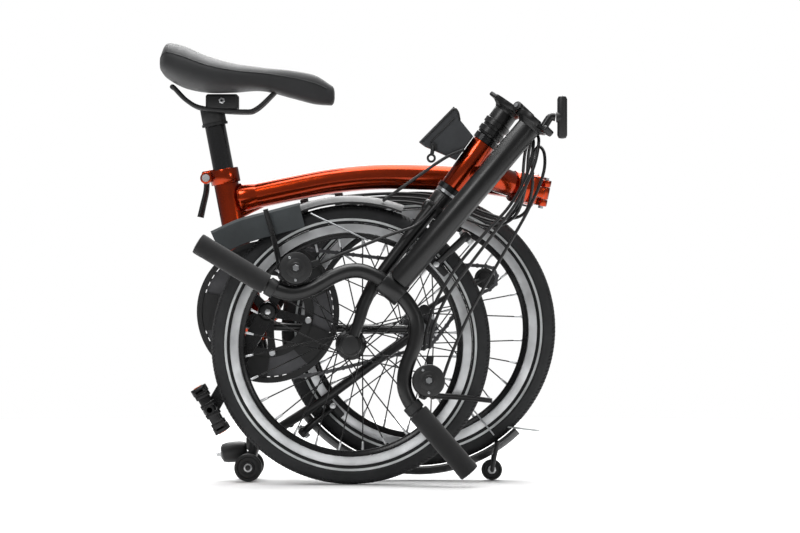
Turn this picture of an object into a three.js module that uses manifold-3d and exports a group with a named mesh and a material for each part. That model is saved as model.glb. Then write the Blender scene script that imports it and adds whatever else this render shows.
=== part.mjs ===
// A folding bicycle with 16 inch wheels, modelled folded.
// Millimetres, +Z up, +X is forward on the main frame, +Y is the rider's left.
// The rear frame is tucked under the main tube, the front frame is swung back beside the
// rear wheel, and the handlepost hangs down beside the front wheel.
import * as THREE from 'three';
import { mergeVertices } from 'three/addons/utils/BufferGeometryUtils.js';
import Module from 'manifold-3d';

const wasm = await Module();
wasm.setup();

// ---------- driving dimensions ----------
const GAP = 0.35; // clearance between touching pieces
const ORIGIN = [2.7, -57.4, 0]; // design point that the finished part has as its origin

const TYRE_RADIUS = 211;
const TYRE_HALF_WIDTH = 18.5;
const RIM_OUTER = 184;
const RIM_INNER = 161;
const SPOKES = 28;
const AXLE_RADIUS = 4.7;
const FRONT_HUB_WIDTH = 74;
const REAR_HUB_WIDTH = 112;

const REAR_HUB = [90, 0, 233.5];
const BOTTOM_BRACKET = [-140, 0, 260];
const CRANK_AXLE_RADIUS = 7.5;
const REAR_PIVOT = [-205, 0, 245];
const SEAT_TUBE_POINT = [-197, 0, 408];
const SEAT_LEAN = 10.8;
const SEATPOST_RADIUS = 15.9;
const SEAT_TUBE_RADIUS = 19;
const MAIN_TUBE_RADIUS = 20;
const MAIN_TUBE_LINE = [
  [-188, 0, 434], [-169, 0, 436.5], [-108, 0, 449], [-43, 0, 461], [27, 0, 467.5],
  [99, 0, 467], [170, 0, 463], [217, 0, 457], [262, 0, 448],
];

const MAIN_HINGE = [281.9, -29.3, 442];
const MAIN_HINGE_AXIS = [0.207, -0.093, 0.974];

const HEAD_POINT = [144.2, -118, 454.2]; // lower end of the steering axis
const HEAD_LEAN = 35.8; // from vertical, in the plane of the folded front wheel
const HEAD_TUBE = [-7, 76]; // along the steering axis
const HEAD_TUBE_RADIUS = 18;
const STEERER_RADIUS = 14.3;
const CARRIER_WIDTH = 40;
const FRONT_HUB_LOCAL = [15, 0, -289]; // forward, left and up in the steerer's own frame

const FLAP_LINE = [[229, 113.5], [238, 122], [255, 132], [272, 141]]; // radius and degrees round the front hub

const POST_HINGE_HEIGHT = 148;
const POST_HINGE_PIN = [20.9, -21, 148];
const POST_HINGE_TILT = -3.1;
const CLAMP_SCREW = [300, -190, 552]; // of the handlepost, parallel to X
const CLAMP_SEAT = [-31.5, 21, 129.8];
const CLAMP_ELBOW = [-31.1, 15, 134.8];
const BAR_HEIGHT = 481;
const POST_RADIUS = 18;
const BAR_RADIUS = 11.1;
const BAR_LINE = [ // left half: across, up
  [0, 0], [20, 0.4], [37, 4], [54, 11], [68, 24], [79, 43], [86, 62], [94, 82], [107, 100],
  [122, 110], [140, 116], [160, 119.3], [212, 127.7], [264, 136],
];
const GRIP_START = 148;
const GRIP_END = 268;

const CHAIN_LINE = -48.2;
const CHAINRING_RADIUS = 101;
const JOCKEY = [191, 0, 311];
const TENSIONER_PIVOT = [98.6, 0, 262];
const SPROCKET = [ // steps in the rear hub's outline: radius, y
  [11, CHAIN_LINE - 1.2], [27, CHAIN_LINE - 1.2], [27, CHAIN_LINE + 1.2], [14, CHAIN_LINE + 1.2],
];
const CRANK_LENGTH = 170;
const CRANK_ANGLE = 240; // of the right crank, from +X towards +Z
const PEDAL_FOLD_Y = 92; // pin that the left pedal folds about
const PEDAL_TILT = 120; // of the right pedal's cage, lying along the front tyre
const ROLLER_RADIUS = 21.3;
const SMALL_ROLLER_RADIUS = 16;
const ROLLER_AXLE = [-170.7, 0, ROLLER_RADIUS];
const SMALL_ROLLER = [203, 0, SMALL_ROLLER_RADIUS];

// ---------- materials ----------
function finish(color, roughness, metalness) {
  return new THREE.MeshStandardMaterial({ color, roughness, metalness });
}
const flameLacquer = finish(0xc43a0c, 0.25, 0.7);
const satinBlack = finish(0x191a1b, 0.45, 0.3);
const glossBlack = finish(0x101112, 0.12, 0.4);
const tyreRubber = finish(0x2b2c2d, 0.85, 0);
const gripRubber = finish(0x222324, 0.9, 0);
const flapRubber = finish(0x3a3d3f, 0.75, 0);
const greyPlastic = finish(0x35373a, 0.6, 0);
const blackPlastic = finish(0x1d1e1f, 0.55, 0);
const vinyl = finish(0x26272a, 0.7, 0);
const silver = finish(0xb9bcbf, 0.3, 0.9);
const steel = finish(0x8d9093, 0.35, 0.9);
const cableBlack = finish(0x121213, 0.5, 0);

// ---------- shape helpers ----------
const UP = new THREE.Vector3(0, 1, 0);
const vec = (p) => new THREE.Vector3(...p);
const radians = THREE.MathUtils.degToRad;

function rod(from, to, radius, sides = 12, endRadius = radius) {
  const axis = vec(to).sub(vec(from));
  const length = axis.length();
  const shape = new THREE.CylinderGeometry(endRadius, radius, length, sides);
  shape.translate(0, length / 2, 0);
  shape.applyQuaternion(new THREE.Quaternion().setFromUnitVectors(UP, axis.normalize()));
  return shape.translate(...from);
}

function sleeve(from, to, radius, bore, sides = 16) {
  const axis = vec(to).sub(vec(from));
  const length = axis.length();
  const wall = [[bore, 0], [radius, 0], [radius, length], [bore, length], [bore, 0]];
  const shape = new THREE.LatheGeometry(wall.map((p) => new THREE.Vector2(...p)), sides);
  shape.applyQuaternion(new THREE.Quaternion().setFromUnitVectors(UP, axis.normalize()));
  return shape.translate(...from);
}

// a ring about the Y axis with a closed section of [radius, y] points
function ringAboutY(section, sides) {
  const closed = [...section, section[0]];
  return new THREE.LatheGeometry(closed.map((p) => new THREE.Vector2(...p)), sides);
}

function circle(radius, sides) {
  const turn = (2 * Math.PI) / sides;
  const corners = Array.from({ length: sides }, (_, i) => i * turn);
  return new THREE.Shape(corners.map((a) => new THREE.Vector2(radius * Math.cos(a), radius * Math.sin(a))));
}

function sweep(section, points, steps) {
  const extrudePath = new THREE.CatmullRomCurve3(points.map(vec), false, 'centripetal');
  return new THREE.ExtrudeGeometry(section, { steps, extrudePath });
}

const tube = (points, radius, sides, steps) => sweep(circle(radius, sides), points, steps);

function box(size, centre, turn = [0, 0, 0]) {
  const shape = new THREE.BoxGeometry(...size);
  shape.applyMatrix4(new THREE.Matrix4().makeRotationFromEuler(new THREE.Euler(...turn.map(radians))));
  return shape.translate(...centre);
}

function toSolid(geometry) {
  const bare = geometry.clone();
  bare.deleteAttribute('normal');
  bare.deleteAttribute('uv');
  const merged = mergeVertices(bare, 1e-3);
  return new wasm.Manifold(new wasm.Mesh({
    numProp: 3,
    vertProperties: new Float32Array(merged.attributes.position.array),
    triVerts: new Uint32Array(merged.index.array),
  }));
}

function toGeometry(solid) {
  const mesh = solid.getMesh();
  const shape = new THREE.BufferGeometry();
  shape.setAttribute('position', new THREE.BufferAttribute(mesh.vertProperties, 3));
  shape.setIndex(new THREE.BufferAttribute(mesh.triVerts, 1));
  shape.computeVertexNormals();
  return shape;
}

function joined(shapes, cuts = []) {
  let solid = toSolid(shapes[0]);
  for (const shape of shapes.slice(1)) solid = solid.add(toSolid(shape));
  for (const cut of cuts) solid = solid.subtract(toSolid(cut));
  return toGeometry(solid);
}

function piece(parent, name, geometry, material) {
  const mesh = new THREE.Mesh(geometry, material);
  mesh.name = name;
  parent.add(mesh);
}

function groupAt(parent, position, turn = [0, 0, 0]) {
  const group = new THREE.Group();
  group.position.set(...position);
  group.rotation.set(...turn.map(radians));
  parent.add(group);
  return group;
}

// a point a given way from a hub, in its wheel's plane
function around(hub, radius, degrees, y = 0) {
  const a = radians(degrees);
  return [hub[0] + radius * Math.cos(a), y, hub[2] + radius * Math.sin(a)];
}

// both mirror images of a list of points
const mirrored = (points) => points.map(([x, y, z]) => [x, -y, z]);

// ---------- wheels ----------
function tyre() {
  const w = TYRE_HALF_WIDTH;
  const section = [
    [RIM_OUTER + 0.5, -10], [193, -w], [204, -16], [TYRE_RADIUS, -5],
    [TYRE_RADIUS, 5], [204, 16], [193, w], [RIM_OUTER + 0.5, 10],
  ];
  return ringAboutY(section, 36);
}

function rim() {
  const section = [
    [RIM_INNER, -6], [168, -10], [RIM_OUTER, -11], [RIM_OUTER, 11], [168, 10], [RIM_INNER, 6],
  ];
  return ringAboutY(section, 36);
}

function spokes(flangeRadius, flangeY) {
  const bed = RIM_INNER - 1.2;
  const nippleBand = ringAboutY([[bed - 2, -5], [bed, -5], [bed, 5], [bed - 2, 5]], SPOKES);
  const shapes = [nippleBand];
  for (let i = 0; i < SPOKES; i += 1) {
    const side = i % 2 ? 1 : -1;
    const lead = i % 4 < 2 ? 1 : -1;
    const atRim = (360 / SPOKES) * (i + 0.5);
    const outer = around([0, 0, 0], bed - 1, atRim, side * (2.2 + lead));
    const inner = around([0, 0, 0], flangeRadius + 1.4, atRim + lead * 52, side * (flangeY + 2.2 * lead));
    shapes.push(rod(outer, inner, 1.2, 3));
  }
  return joined(shapes);
}

function hubShell(width, bodyRadius, flangeRadius, flangeY, sprocket = []) {
  const end = width / 2 - GAP;
  const bore = AXLE_RADIUS + GAP;
  const section = [
    [bore, -end], [11, -end], ...sprocket, [bodyRadius, -flangeY - 2], [flangeRadius, -flangeY - 1.5],
    [flangeRadius, -flangeY + 1.5], [bodyRadius, -flangeY + 5], [bodyRadius, flangeY - 5],
    [flangeRadius, flangeY - 1.5], [flangeRadius, flangeY + 1.5], [bodyRadius, flangeY + 2],
    [11, end], [bore, end],
  ];
  return ringAboutY(section, 16);
}

function axle(dropoutFace, nutHeight) {
  const shapes = [rod([0, -dropoutFace - nutHeight - 3, 0], [0, dropoutFace + nutHeight + 3, 0], AXLE_RADIUS, 10)];
  for (const side of [-1, 1]) {
    const face = side * (dropoutFace + GAP);
    shapes.push(rod([0, face, 0], [0, face + side * nutHeight, 0], 9, 6));
  }
  return joined(shapes);
}

// ---------- brakes and mudguards ----------
// a calliper over a tyre, in the wheel's plane, with X pointing out from the hub
function brakeCalliper() {
  const shapes = [box([12, 62, 14], [238, 0, 0])];
  for (const side of [-1, 1]) {
    shapes.push(box([66, 5, 12], [208, side * 28.5, 0]));
    shapes.push(box([10, 14, 26], [177, side * 19.2, 0]));
  }
  return joined(shapes);
}

function mudguardBand(hub, fromAngle, toAngle, steps) {
  const halfWidth = 24;
  const crown = (x, lift) => new THREE.Vector2(x, lift - 9 * (x / halfWidth) ** 2);
  const across = [-1, -0.66, -0.33, 0, 0.33, 0.66, 1].map((t) => t * halfWidth);
  const outside = across.map((x) => crown(x, 1.2));
  const inside = across.map((x) => crown(x, -1.2)).reverse();
  const arc = [];
  for (let i = 0; i <= steps; i += 1) {
    arc.push(around(hub, 224, fromAngle + ((toAngle - fromAngle) * i) / steps));
  }
  return sweep(new THREE.Shape([...outside, ...inside]), arc, steps);
}

// the rubber end of the front mudguard: a channel that leaves the tyre and opens towards its tip
function mudguardFlap() {
  const half = 26;
  const depth = 38;
  const skin = 2.4;
  const section = [
    [-half, -depth], [-half + skin, -depth], [-half + skin, -skin], [half - skin, -skin],
    [half - skin, -depth], [half, -depth], [half, 0], [-half, 0],
  ];
  const path = FLAP_LINE.map(([radius, degrees]) => around(FRONT_HUB_LOCAL, radius, degrees + HEAD_LEAN));
  return sweep(new THREE.Shape(section.map((p) => new THREE.Vector2(...p))), path, 8);
}

// ---------- main frame ----------
const seatDirection = [-Math.sin(radians(SEAT_LEAN)), 0, Math.cos(radians(SEAT_LEAN))];
function onSeatAxis(height) {
  const t = (height - SEAT_TUBE_POINT[2]) / seatDirection[2];
  return SEAT_TUBE_POINT.map((c, i) => c + t * seatDirection[i]);
}

function hingeAxisPoint(t) {
  return MAIN_HINGE.map((c, i) => c + t * MAIN_HINGE_AXIS[i]);
}

function mainFrame() {
  const [bx, , bz] = BOTTOM_BRACKET;
  const [px, , pz] = REAR_PIVOT;
  const shapes = [
    rod(onSeatAxis(214), onSeatAxis(480), SEAT_TUBE_RADIUS, 20),
    tube(MAIN_TUBE_LINE, MAIN_TUBE_RADIUS, 14, 15),
    rod([bx, -32, bz], [bx, 32, bz], 17.5, 16),
    rod([px, -31, pz], [px, 31, pz], 13, 14),
    box([30, 40, 18], [px + 18, 0, pz]),
    rod([-128, 0, 440], onSeatAxis(392), 9, 8),
    // hinge half at the front end of the main tube
    rod([252, 0, 450], [271, 0, 446], 24, 14, 26),
    box([16, 34, 44], [272, -12, 446], [0, 12, 0]),
    rod(hingeAxisPoint(-20), hingeAxisPoint(-10), 8.5, 14),
    rod(hingeAxisPoint(10), hingeAxisPoint(20), 8.5, 14),
    // seat clamp lugs behind the seat tube
    box([22, 20, 18], [-232, 0, 468], [0, -10.8, 0]),
    rod([-237, -11, 465], [-237, 11, 465], 8, 12),
  ];
  const cuts = [
    rod(onSeatAxis(200), onSeatAxis(500), SEATPOST_RADIUS + GAP, 20),
    rod([bx, -40, bz], [bx, 40, bz], CRANK_AXLE_RADIUS + GAP, 14),
    rod([px, -40, pz], [px, 40, pz], 6 + GAP, 12),
    rod([-237, -20, 465], [-237, 20, 465], 3 + GAP, 10),
    rod(hingeAxisPoint(-30), hingeAxisPoint(30), 4 + GAP, 10),
    rod(hingeAxisPoint(-9.6), hingeAxisPoint(9.6), 9.5, 14),
  ];
  return joined(shapes, cuts);
}


// ---------- front frame ----------
const headDirection = [Math.sin(radians(HEAD_LEAN)), 0, Math.cos(radians(HEAD_LEAN))];
const onHeadAxis = (t) => HEAD_POINT.map((c, i) => c + t * headDirection[i]);

function frontFrame() {
  const shapes = [
    rod(onHeadAxis(HEAD_TUBE[0]), onHeadAxis(HEAD_TUBE[1]), HEAD_TUBE_RADIUS, 18),
    rod(onHeadAxis(30), [238, -70, 452], MAIN_TUBE_RADIUS, 14),
    rod([234, -72, 452], [250, -65, 448], 24, 14),
    box([16, 34, 42], [258, -60, 447], [0, 12, 28]),
    rod(hingeAxisPoint(-9.2), hingeAxisPoint(9.2), 8.5, 14),
    box([18, 30, 17], [272, -46, 443.5], [0, 12, 10]),
  ];
  const cuts = [
    rod(onHeadAxis(-40), onHeadAxis(120), STEERER_RADIUS + 0.7, 18),
    rod(hingeAxisPoint(-30), hingeAxisPoint(30), 4 + GAP, 10),
    rod(hingeAxisPoint(-26), hingeAxisPoint(-9.6), 9.5, 14),
    rod(hingeAxisPoint(9.6), hingeAxisPoint(26), 9.5, 14),
  ];
  return joined(shapes, cuts);
}

// the wedge that a bag frame slides onto: a flat outer plate on a body that narrows to the head tube
function carrierBlock() {
  const side = [[-69.2, 93], [-80.4, 19.6], [-69.4, 19.3], [-18.9, 30.5], [-18.9, 74], [-48.2, 82], [-61, 92]];
  const outline = new THREE.Shape(side.map(([x, z]) => new THREE.Vector2(x, z)));
  const half = CARRIER_WIDTH / 2;
  return new THREE.ExtrudeGeometry(outline, { depth: CARRIER_WIDTH, bevelEnabled: false })
    .rotateX(Math.PI / 2).translate(0, half, 0);
}

// ---------- steerer's own frame: X forward, Y left, Z up the steering axis ----------
function fork() {
  const [hx, , hz] = FRONT_HUB_LOCAL;
  const dropout = FRONT_HUB_WIDTH / 2;
  const blade = [[-6, 31, -50], [-8, 33, -110], [-9, 36, -190], [-5, 39, -225], [4, 41.5, -252], [11, 43, -275]];
  const shapes = [
    rod([0, 0, -60], [0, 0, 130], STEERER_RADIUS, 16),
    rod([0, 0, -62], [0, 0, -21], 20, 16),
    box([34, 76, 20], [-4, 0, -52]),
  ];
  for (const line of [blade, mirrored(blade)]) {
    const side = Math.sign(line[0][1]);
    shapes.push(rod(line[0], line[1], 11, 12));
    shapes.push(rod(line[1], line[2], 11, 12, 8.6));
    shapes.push(tube(line.slice(2), 7.6, 10, 5));
    shapes.push(rod([hx, side * dropout, hz], [hx, side * (dropout + 6), hz], 17, 14));
  }
  return joined(shapes, [rod([hx, -60, hz], [hx, 60, hz], AXLE_RADIUS + GAP, 12)]);
}

const pinDirection = new THREE.Vector3(1, 1, 0).normalize().multiplyScalar(Math.cos(radians(POST_HINGE_TILT)));
pinDirection.z = Math.sin(radians(POST_HINGE_TILT));
const onPin = (t) => POST_HINGE_PIN.map((c, i) => c + t * pinDirection.getComponent(i));

function steererHinge() {
  const top = POST_HINGE_HEIGHT - GAP;
  const shapes = [
    rod([0, 0, 86.5], [0, 0, 140], 18.5, 16),
    rod([0, 0, 137], [0, 0, top], 27, 16),
    box([26, 38, 10], [6.4, -6.4, top - 5], [0, 0, 45]),
    rod(onPin(-9.5), onPin(9.5), 7.5, 14),
  ];
  const cuts = [
    rod([0, 0, 80], [0, 0, 131], STEERER_RADIUS + 0.6, 16),
    rod(onPin(-30), onPin(30), 3.5 + GAP, 10),
    rod(onPin(-28), onPin(-10), 8.4, 14),
    rod(onPin(10), onPin(28), 8.4, 14),
  ];
  return joined(shapes, cuts);
}

function handlepost() {
  const base = POST_HINGE_HEIGHT + GAP;
  const shapes = [
    rod([0, 0, base], [0, 0, BAR_HEIGHT], POST_RADIUS, 16),
    rod([0, 0, base], [0, 0, base + 10], 27, 16),
    box([26, 38, 10], [6.4, -6.4, base + 5], [0, 0, 45]),
    box([34, 18, 10], [-24, 18, base + 5], [0, 0, -34]),
    // arm of the clamp, from the lug to the screw
    rod(CLAMP_SEAT, CLAMP_ELBOW, 6, 12),
    rod(CLAMP_ELBOW, [-31, 17, base + 4], 6, 12),
    rod(onPin(-20), onPin(-10), 7.5, 14),
    rod(onPin(10), onPin(20), 7.5, 14),
    rod([0, -19, BAR_HEIGHT], [0, 19, BAR_HEIGHT], 18, 16),
    box([14, 24, 22], [18, 0, BAR_HEIGHT]),
  ];
  const cuts = [
    rod(onPin(-30), onPin(30), 3.5 + GAP, 10),
    rod(onPin(-9.9), onPin(9.9), 8.4, 14),
    rod([0, -30, BAR_HEIGHT], [0, 30, BAR_HEIGHT], BAR_RADIUS + 1.3, 16),
  ];
  return joined(shapes, cuts);
}

// a T handle on a screw along X, as it stands beside the folded handlepost
function clampLever() {
  return joined([
    rod([-5, 0, 0], [4, 0, 0], 8, 12),
    rod([4, 0, -32], [4, 0, 32], 7.5, 12),
  ]);
}

function handlebar() {
  const left = BAR_LINE.map(([across, up]) => [0, across, up]);
  return tube([...mirrored(left.slice(1)).reverse(), ...left], BAR_RADIUS, 8, 34);
}

const barPoint = (across, side, off = [0, 0, 0]) => {
  const last = BAR_LINE.length - 1;
  const [x0, z0] = BAR_LINE[last - 2];
  const [x1, z1] = BAR_LINE[last];
  const up = z0 + ((across - x0) / (x1 - x0)) * (z1 - z0);
  return [off[0], side * (across + off[1]), up + off[2]];
};

function grip(side) {
  return sleeve(barPoint(GRIP_START, side), barPoint(GRIP_END, side), 16.2, BAR_RADIUS + 0.9, 16);
}

function shifter(side) {
  return joined([
    rod([-13, side * 130, 71], [12, side * 130, 71], 18, 20),
    rod([-17, side * 130, 71], [-12, side * 130, 71], 9, 14),
    box([16, 20, 26], [4, side * 134, 82]),
    box([30, 14, 12], [22, side * 138, 90]),
  ]);
}

function brakeLever(side) {
  const reach = [[33, 150, 82], [37, 164, 71], [38, 190, 52], [34, 223, 30]];
  return tube(side > 0 ? reach : mirrored(reach), 4.6, 8, 8);
}

function shiftTrigger(side) {
  return joined([
    rod([13, side * 130, 71], [17, side * 130, 71], 10, 12),
    box([4, 10, 34], [15, side * 118, 54], [side * -32, 0, 0]),
  ]);
}

// ---------- rear frame ----------
function rearFrame() {
  const [px, , pz] = REAR_PIVOT;
  const [hx, , hz] = REAR_HUB;
  const [rx, , rz] = ROLLER_AXLE;
  const face = REAR_HUB_WIDTH / 2;
  const chainstay = [[px, 36, pz], [-150, 38.5, 238], [-60, 39, 235], [0, 46, 234], [hx - 16, face + 4, hz]];
  const seatstay = [[hx - 10, face + 5, hz - 10], [24, 58, 183], [-56, 43, 124], [-118, 32, 84], [-160, 18, 60]];
  const shapes = [
    rod([-106, -36, 87], [-106, 36, 87], 5, 10),
    box([22, 42, 22], [-163, 0, 58]),
    rod([rx, -58, rz], [rx, 58, rz], 4.5, 10),
  ];
  for (const side of [1, -1]) {
    const turned = (line) => line.map(([x, y, z]) => [x, side * y, z]);
    shapes.push(tube(turned(chainstay), 5, 8, 8));
    shapes.push(tube(turned(seatstay), 6, 8, 9));
    shapes.push(rod([px, side * 31.5, pz], [px, side * 40, pz], 12, 12));
    shapes.push(rod([hx, side * face, hz], [hx, side * (face + 6), hz], 18, 14));
    shapes.push(rod([-160, side * 20, 60], [rx, side * 24, rz], 7, 8));
  }
  const cuts = [
    rod([px, -50, pz], [px, 50, pz], 6 + GAP, 12),
    rod([hx, -70, hz], [hx, 70, hz], AXLE_RADIUS + GAP, 12),
  ];
  return joined(shapes, cuts);
}

function suspensionBlock() {
  return joined([
    rod([-174.5, 0, 46], [-214, 0, 41], 13.5, 16, 15.5),
    rod([-213, 0, 41.1], [-222, 0, 40], 5, 10),
  ]);
}

// ---------- drive ----------
const crankPoint = (radius, degrees, y) => around(BOTTOM_BRACKET, radius, degrees, y);

function crankset() {
  const tip = crankPoint(CRANK_LENGTH, CRANK_ANGLE, -65);
  const centre = crankPoint(0, 0, -65);
  const shapes = [
    rod(crankPoint(0, 0, -72), crankPoint(0, 0, 72), CRANK_AXLE_RADIUS, 14),
    rod(crankPoint(0, 0, -71), crankPoint(0, 0, -50.5), 15, 16),
    box([CRANK_LENGTH, 12, 22], [CRANK_LENGTH / 2, 0, 0]),
    rod(crankPoint(CRANK_LENGTH, CRANK_ANGLE, -71), crankPoint(CRANK_LENGTH, CRANK_ANGLE, -59), 13, 16),
  ];
  shapes[2].rotateY(-radians(CRANK_ANGLE)).translate(...centre);
  for (let i = 0; i < 5; i += 1) {
    const arm = box([64, 5, 14], [36, 0, 0]).rotateY(-radians(CRANK_ANGLE + 36 + 72 * i));
    shapes.push(arm.translate(...crankPoint(0, 0, -58)));
  }
  return joined(shapes, [rod([tip[0], -90, tip[2]], [tip[0], -40, tip[2]], 5 + GAP, 10)]);
}

function leftCrank() {
  const angle = CRANK_ANGLE - 180;
  const arm = box([CRANK_LENGTH, 12, 22], [CRANK_LENGTH / 2, 0, 0]).rotateY(-radians(angle));
  const shapes = [
    arm.translate(...crankPoint(0, 0, 66)),
    rod(crankPoint(0, 0, 60), crankPoint(0, 0, 74), 15, 16),
    rod(crankPoint(CRANK_LENGTH, angle, 60), crankPoint(CRANK_LENGTH, angle, 72), 13, 16),
    rod(crankPoint(CRANK_LENGTH, angle, 70), crankPoint(CRANK_LENGTH, angle, 80), 8, 14),
    box([9, 20, 12], crankPoint(CRANK_LENGTH, angle, 88)),
  ];
  const tip = crankPoint(CRANK_LENGTH, angle, PEDAL_FOLD_Y);
  const cuts = [
    rod(crankPoint(0, 0, 40), crankPoint(0, 0, 90), CRANK_AXLE_RADIUS + GAP, 14),
    rod([tip[0] - 10, tip[1], tip[2]], [tip[0] + 10, tip[1], tip[2]], 2.5 + GAP, 10),
  ];
  return joined(shapes, cuts);
}

function chainring() {
  const section = [[60, -1.2], [CHAINRING_RADIUS, -1.2], [CHAINRING_RADIUS, 1.2], [60, 1.2]];
  return ringAboutY(section, 36).translate(...crankPoint(0, 0, CHAIN_LINE));
}

function chainguard() {
  const guard = ringAboutY([[56, -1.2], [109, -1.2], [109, 1.2], [56, 1.2]], 36);
  const cuts = [];
  for (let i = 0; i < 5; i += 1) {
    cuts.push(rod(around([0, 0, 0], 85, 72 * i, -5), around([0, 0, 0], 85, 72 * i, 5), 15, 8));
  }
  return joined([guard], cuts).translate(...crankPoint(0, 0, -53.8));
}

function rightPedalCage() {
  return joined([
    rod([0, -61, 0], [0, -148, 0], 5, 12),
    rod([0, -74, 0], [0, -148, 0], 9, 12),
    box([10, 70, 20], [-33, -112, 0]),
    box([10, 70, 20], [33, -112, 0]),
    box([70, 6, 16], [0, -80, 0]),
    box([70, 6, 16], [0, -144, 0]),
  ]);
}

// the folded cage stands up beside the crank, on a pin across the end of the crank
function leftPedalCage() {
  return joined([
    rod([-20, PEDAL_FOLD_Y, 0], [20, PEDAL_FOLD_Y, 0], 2.5, 10),
    box([66, 8, 12], [-6, PEDAL_FOLD_Y, 40]),
    box([12, 8, 48], [-33, PEDAL_FOLD_Y, 18]),
    box([12, 8, 48], [21, PEDAL_FOLD_Y, 18]),
    box([30.8, 8, 14], [-20.6, PEDAL_FOLD_Y, 0]),
    box([18.8, 8, 14], [14.6, PEDAL_FOLD_Y, 0]),
  ]);
}

// the chain as a flat band: over the chainring, round the jockey wheel and the sprocket
function arcAround(centre, radius, from, to, count) {
  return Array.from({ length: count + 1 }, (_, i) => (
    around(centre, radius, from + ((to - from) * i) / count, CHAIN_LINE)));
}

function chain() {
  const onRing = CHAINRING_RADIUS + 2.6;
  const line = [
    ...arcAround(BOTTOM_BRACKET, onRing, 207, 90, 9),
    [-60, CHAIN_LINE, 353], [60, CHAIN_LINE, 339], [150, CHAIN_LINE, 332],
    ...arcAround(JOCKEY, 19, 70, -75, 4),
    [160, CHAIN_LINE, 276], [134, CHAIN_LINE, 240],
    ...arcAround(REAR_HUB, 31, -30, -95, 3),
    [30, CHAIN_LINE, 188], [-60, CHAIN_LINE, 166],
    ...arcAround(BOTTOM_BRACKET, onRing, 278, 214, 5),
  ];
  const link = [[-2.6, -1.6], [2.6, -1.6], [2.6, 1.6], [-2.6, 1.6]];
  return sweep(new THREE.Shape(link.map((p) => new THREE.Vector2(...p))), line, 64);
}

function chainTensioner() {
  const y = -53.5;
  const pivot = [TENSIONER_PIVOT[0], y, TENSIONER_PIVOT[2]];
  const jockey = [JOCKEY[0], y, JOCKEY[2]];
  return joined([
    rod([pivot[0], y - 12, pivot[2]], [pivot[0], y - 1.5, pivot[2]], 9, 12),
    rod([pivot[0], y, pivot[2]], [jockey[0], y, jockey[2]], 3, 8),
    rod([jockey[0], y - 3, jockey[2]], [jockey[0], y + 3, jockey[2]], 9, 14),
    rod([jockey[0], y, jockey[2]], [jockey[0], y + 9, jockey[2]], 3, 10),
  ]);
}

// ---------- seat ----------
function saddle() {
  // crosswise sections along the saddle: [x, half width, lowest z, top z]
  const stations = [
    [-306, 46, 630, 652], [-296, 62, 618, 672], [-270, 73, 604, 668], [-235, 72, 597, 653],
    [-195, 58, 597, 642], [-150, 36, 602, 636], [-105, 24, 596, 633], [-70, 20, 588, 624], [-44, 13, 584, 606],
  ];
  const around8 = 14;
  const vertices = [];
  const faces = [];
  for (const [x, half, low, top] of stations) {
    for (let i = 0; i < around8; i += 1) {
      const a = (2 * Math.PI * i) / around8;
      const squareness = (v) => Math.sign(v) * Math.abs(v) ** 0.8;
      vertices.push(x, half * squareness(Math.cos(a)), (top + low) / 2 + ((top - low) / 2) * squareness(Math.sin(a)));
    }
  }
  const last = stations.length - 1;
  for (let s = 0; s < last; s += 1) {
    for (let i = 0; i < around8; i += 1) {
      const a = s * around8 + i;
      const b = s * around8 + ((i + 1) % around8);
      faces.push(a, b, a + around8, b, b + around8, a + around8);
    }
  }
  for (let i = 1; i < around8 - 1; i += 1) {
    faces.push(0, i + 1, i);
    faces.push(last * around8, last * around8 + i, last * around8 + i + 1);
  }
  const shape = new THREE.BufferGeometry();
  shape.setAttribute('position', new THREE.BufferAttribute(new Float32Array(vertices), 3));
  shape.setIndex(faces);
  shape.computeVertexNormals();
  return shape;
}

function saddleRails() {
  const rail = [[-282, 20, 596], [-262, 21, 582], [-240, 21.5, 572], [-180, 21.5, 567], [-158, 18, 572], [-132, 10, 592]];
  return joined([
    tube(rail, 3.5, 6, 9),
    tube(mirrored(rail), 3.5, 6, 9),
    rod([-282, -22, 594.5], [-282, 22, 594.5], 4, 8),
    rod([-133, -12, 591], [-133, 12, 591], 4, 8),
    box([44, 50, 22], [-214, 0, 571], [0, 0, 0]),
    rod([-214, -30, 584], [-214, 30, 584], 5, 10),
    rod(onSeatAxis(549), onSeatAxis(566), 21, 14),
  ], [rod(onSeatAxis(500), onSeatAxis(568), SEATPOST_RADIUS + GAP, 20)]);
}

// ---------- cables: points chosen along each real route ----------
const CABLE_ROUTES = {
  front_brake_cable: [
    [-74, -164, 326], [-40, -167, 342], [10, -170, 362], [50, -171, 378], [85, -170, 390],
    [108, -166, 412], [128, -160, 436],
  ],
  rear_brake_cable: [
    [126, -162, 162], [140, -162, 200], [168, -164, 262], [212, -165, 340], [252, -162, 410],
    [276, -154, 465], [279, -144, 498], [270, -132, 510], [262, -122, 490], [262, -112, 450],
    [252, -95, 412], [226, -64, 402], [190, -34, 412], [150, -26, 428], [90, -25, 440],
    [20, -25, 440], [-50, -25, 432], [-110, -25, 418], [-140, -26, 396],
  ],
};

// ---------- the bicycle, as a tree of moving bodies ----------
const model = new THREE.Group();
model.position.set(...ORIGIN.map((c) => -c));

const main = groupAt(model, [0, 0, 0]);
piece(main, 'main_frame', mainFrame(), flameLacquer);
piece(main, 'rear_pivot_bolt', joined([
  rod([REAR_PIVOT[0], -46, REAR_PIVOT[2]], [REAR_PIVOT[0], 46, REAR_PIVOT[2]], 6, 12),
  rod([REAR_PIVOT[0], -46, REAR_PIVOT[2]], [REAR_PIVOT[0], -43.7, REAR_PIVOT[2]], 8, 10),
  rod([REAR_PIVOT[0], 43.7, REAR_PIVOT[2]], [REAR_PIVOT[0], 46, REAR_PIVOT[2]], 8, 10),
]), steel);
piece(main, 'main_hinge_pin', rod(hingeAxisPoint(-24), hingeAxisPoint(24), 4, 12), steel);

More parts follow.
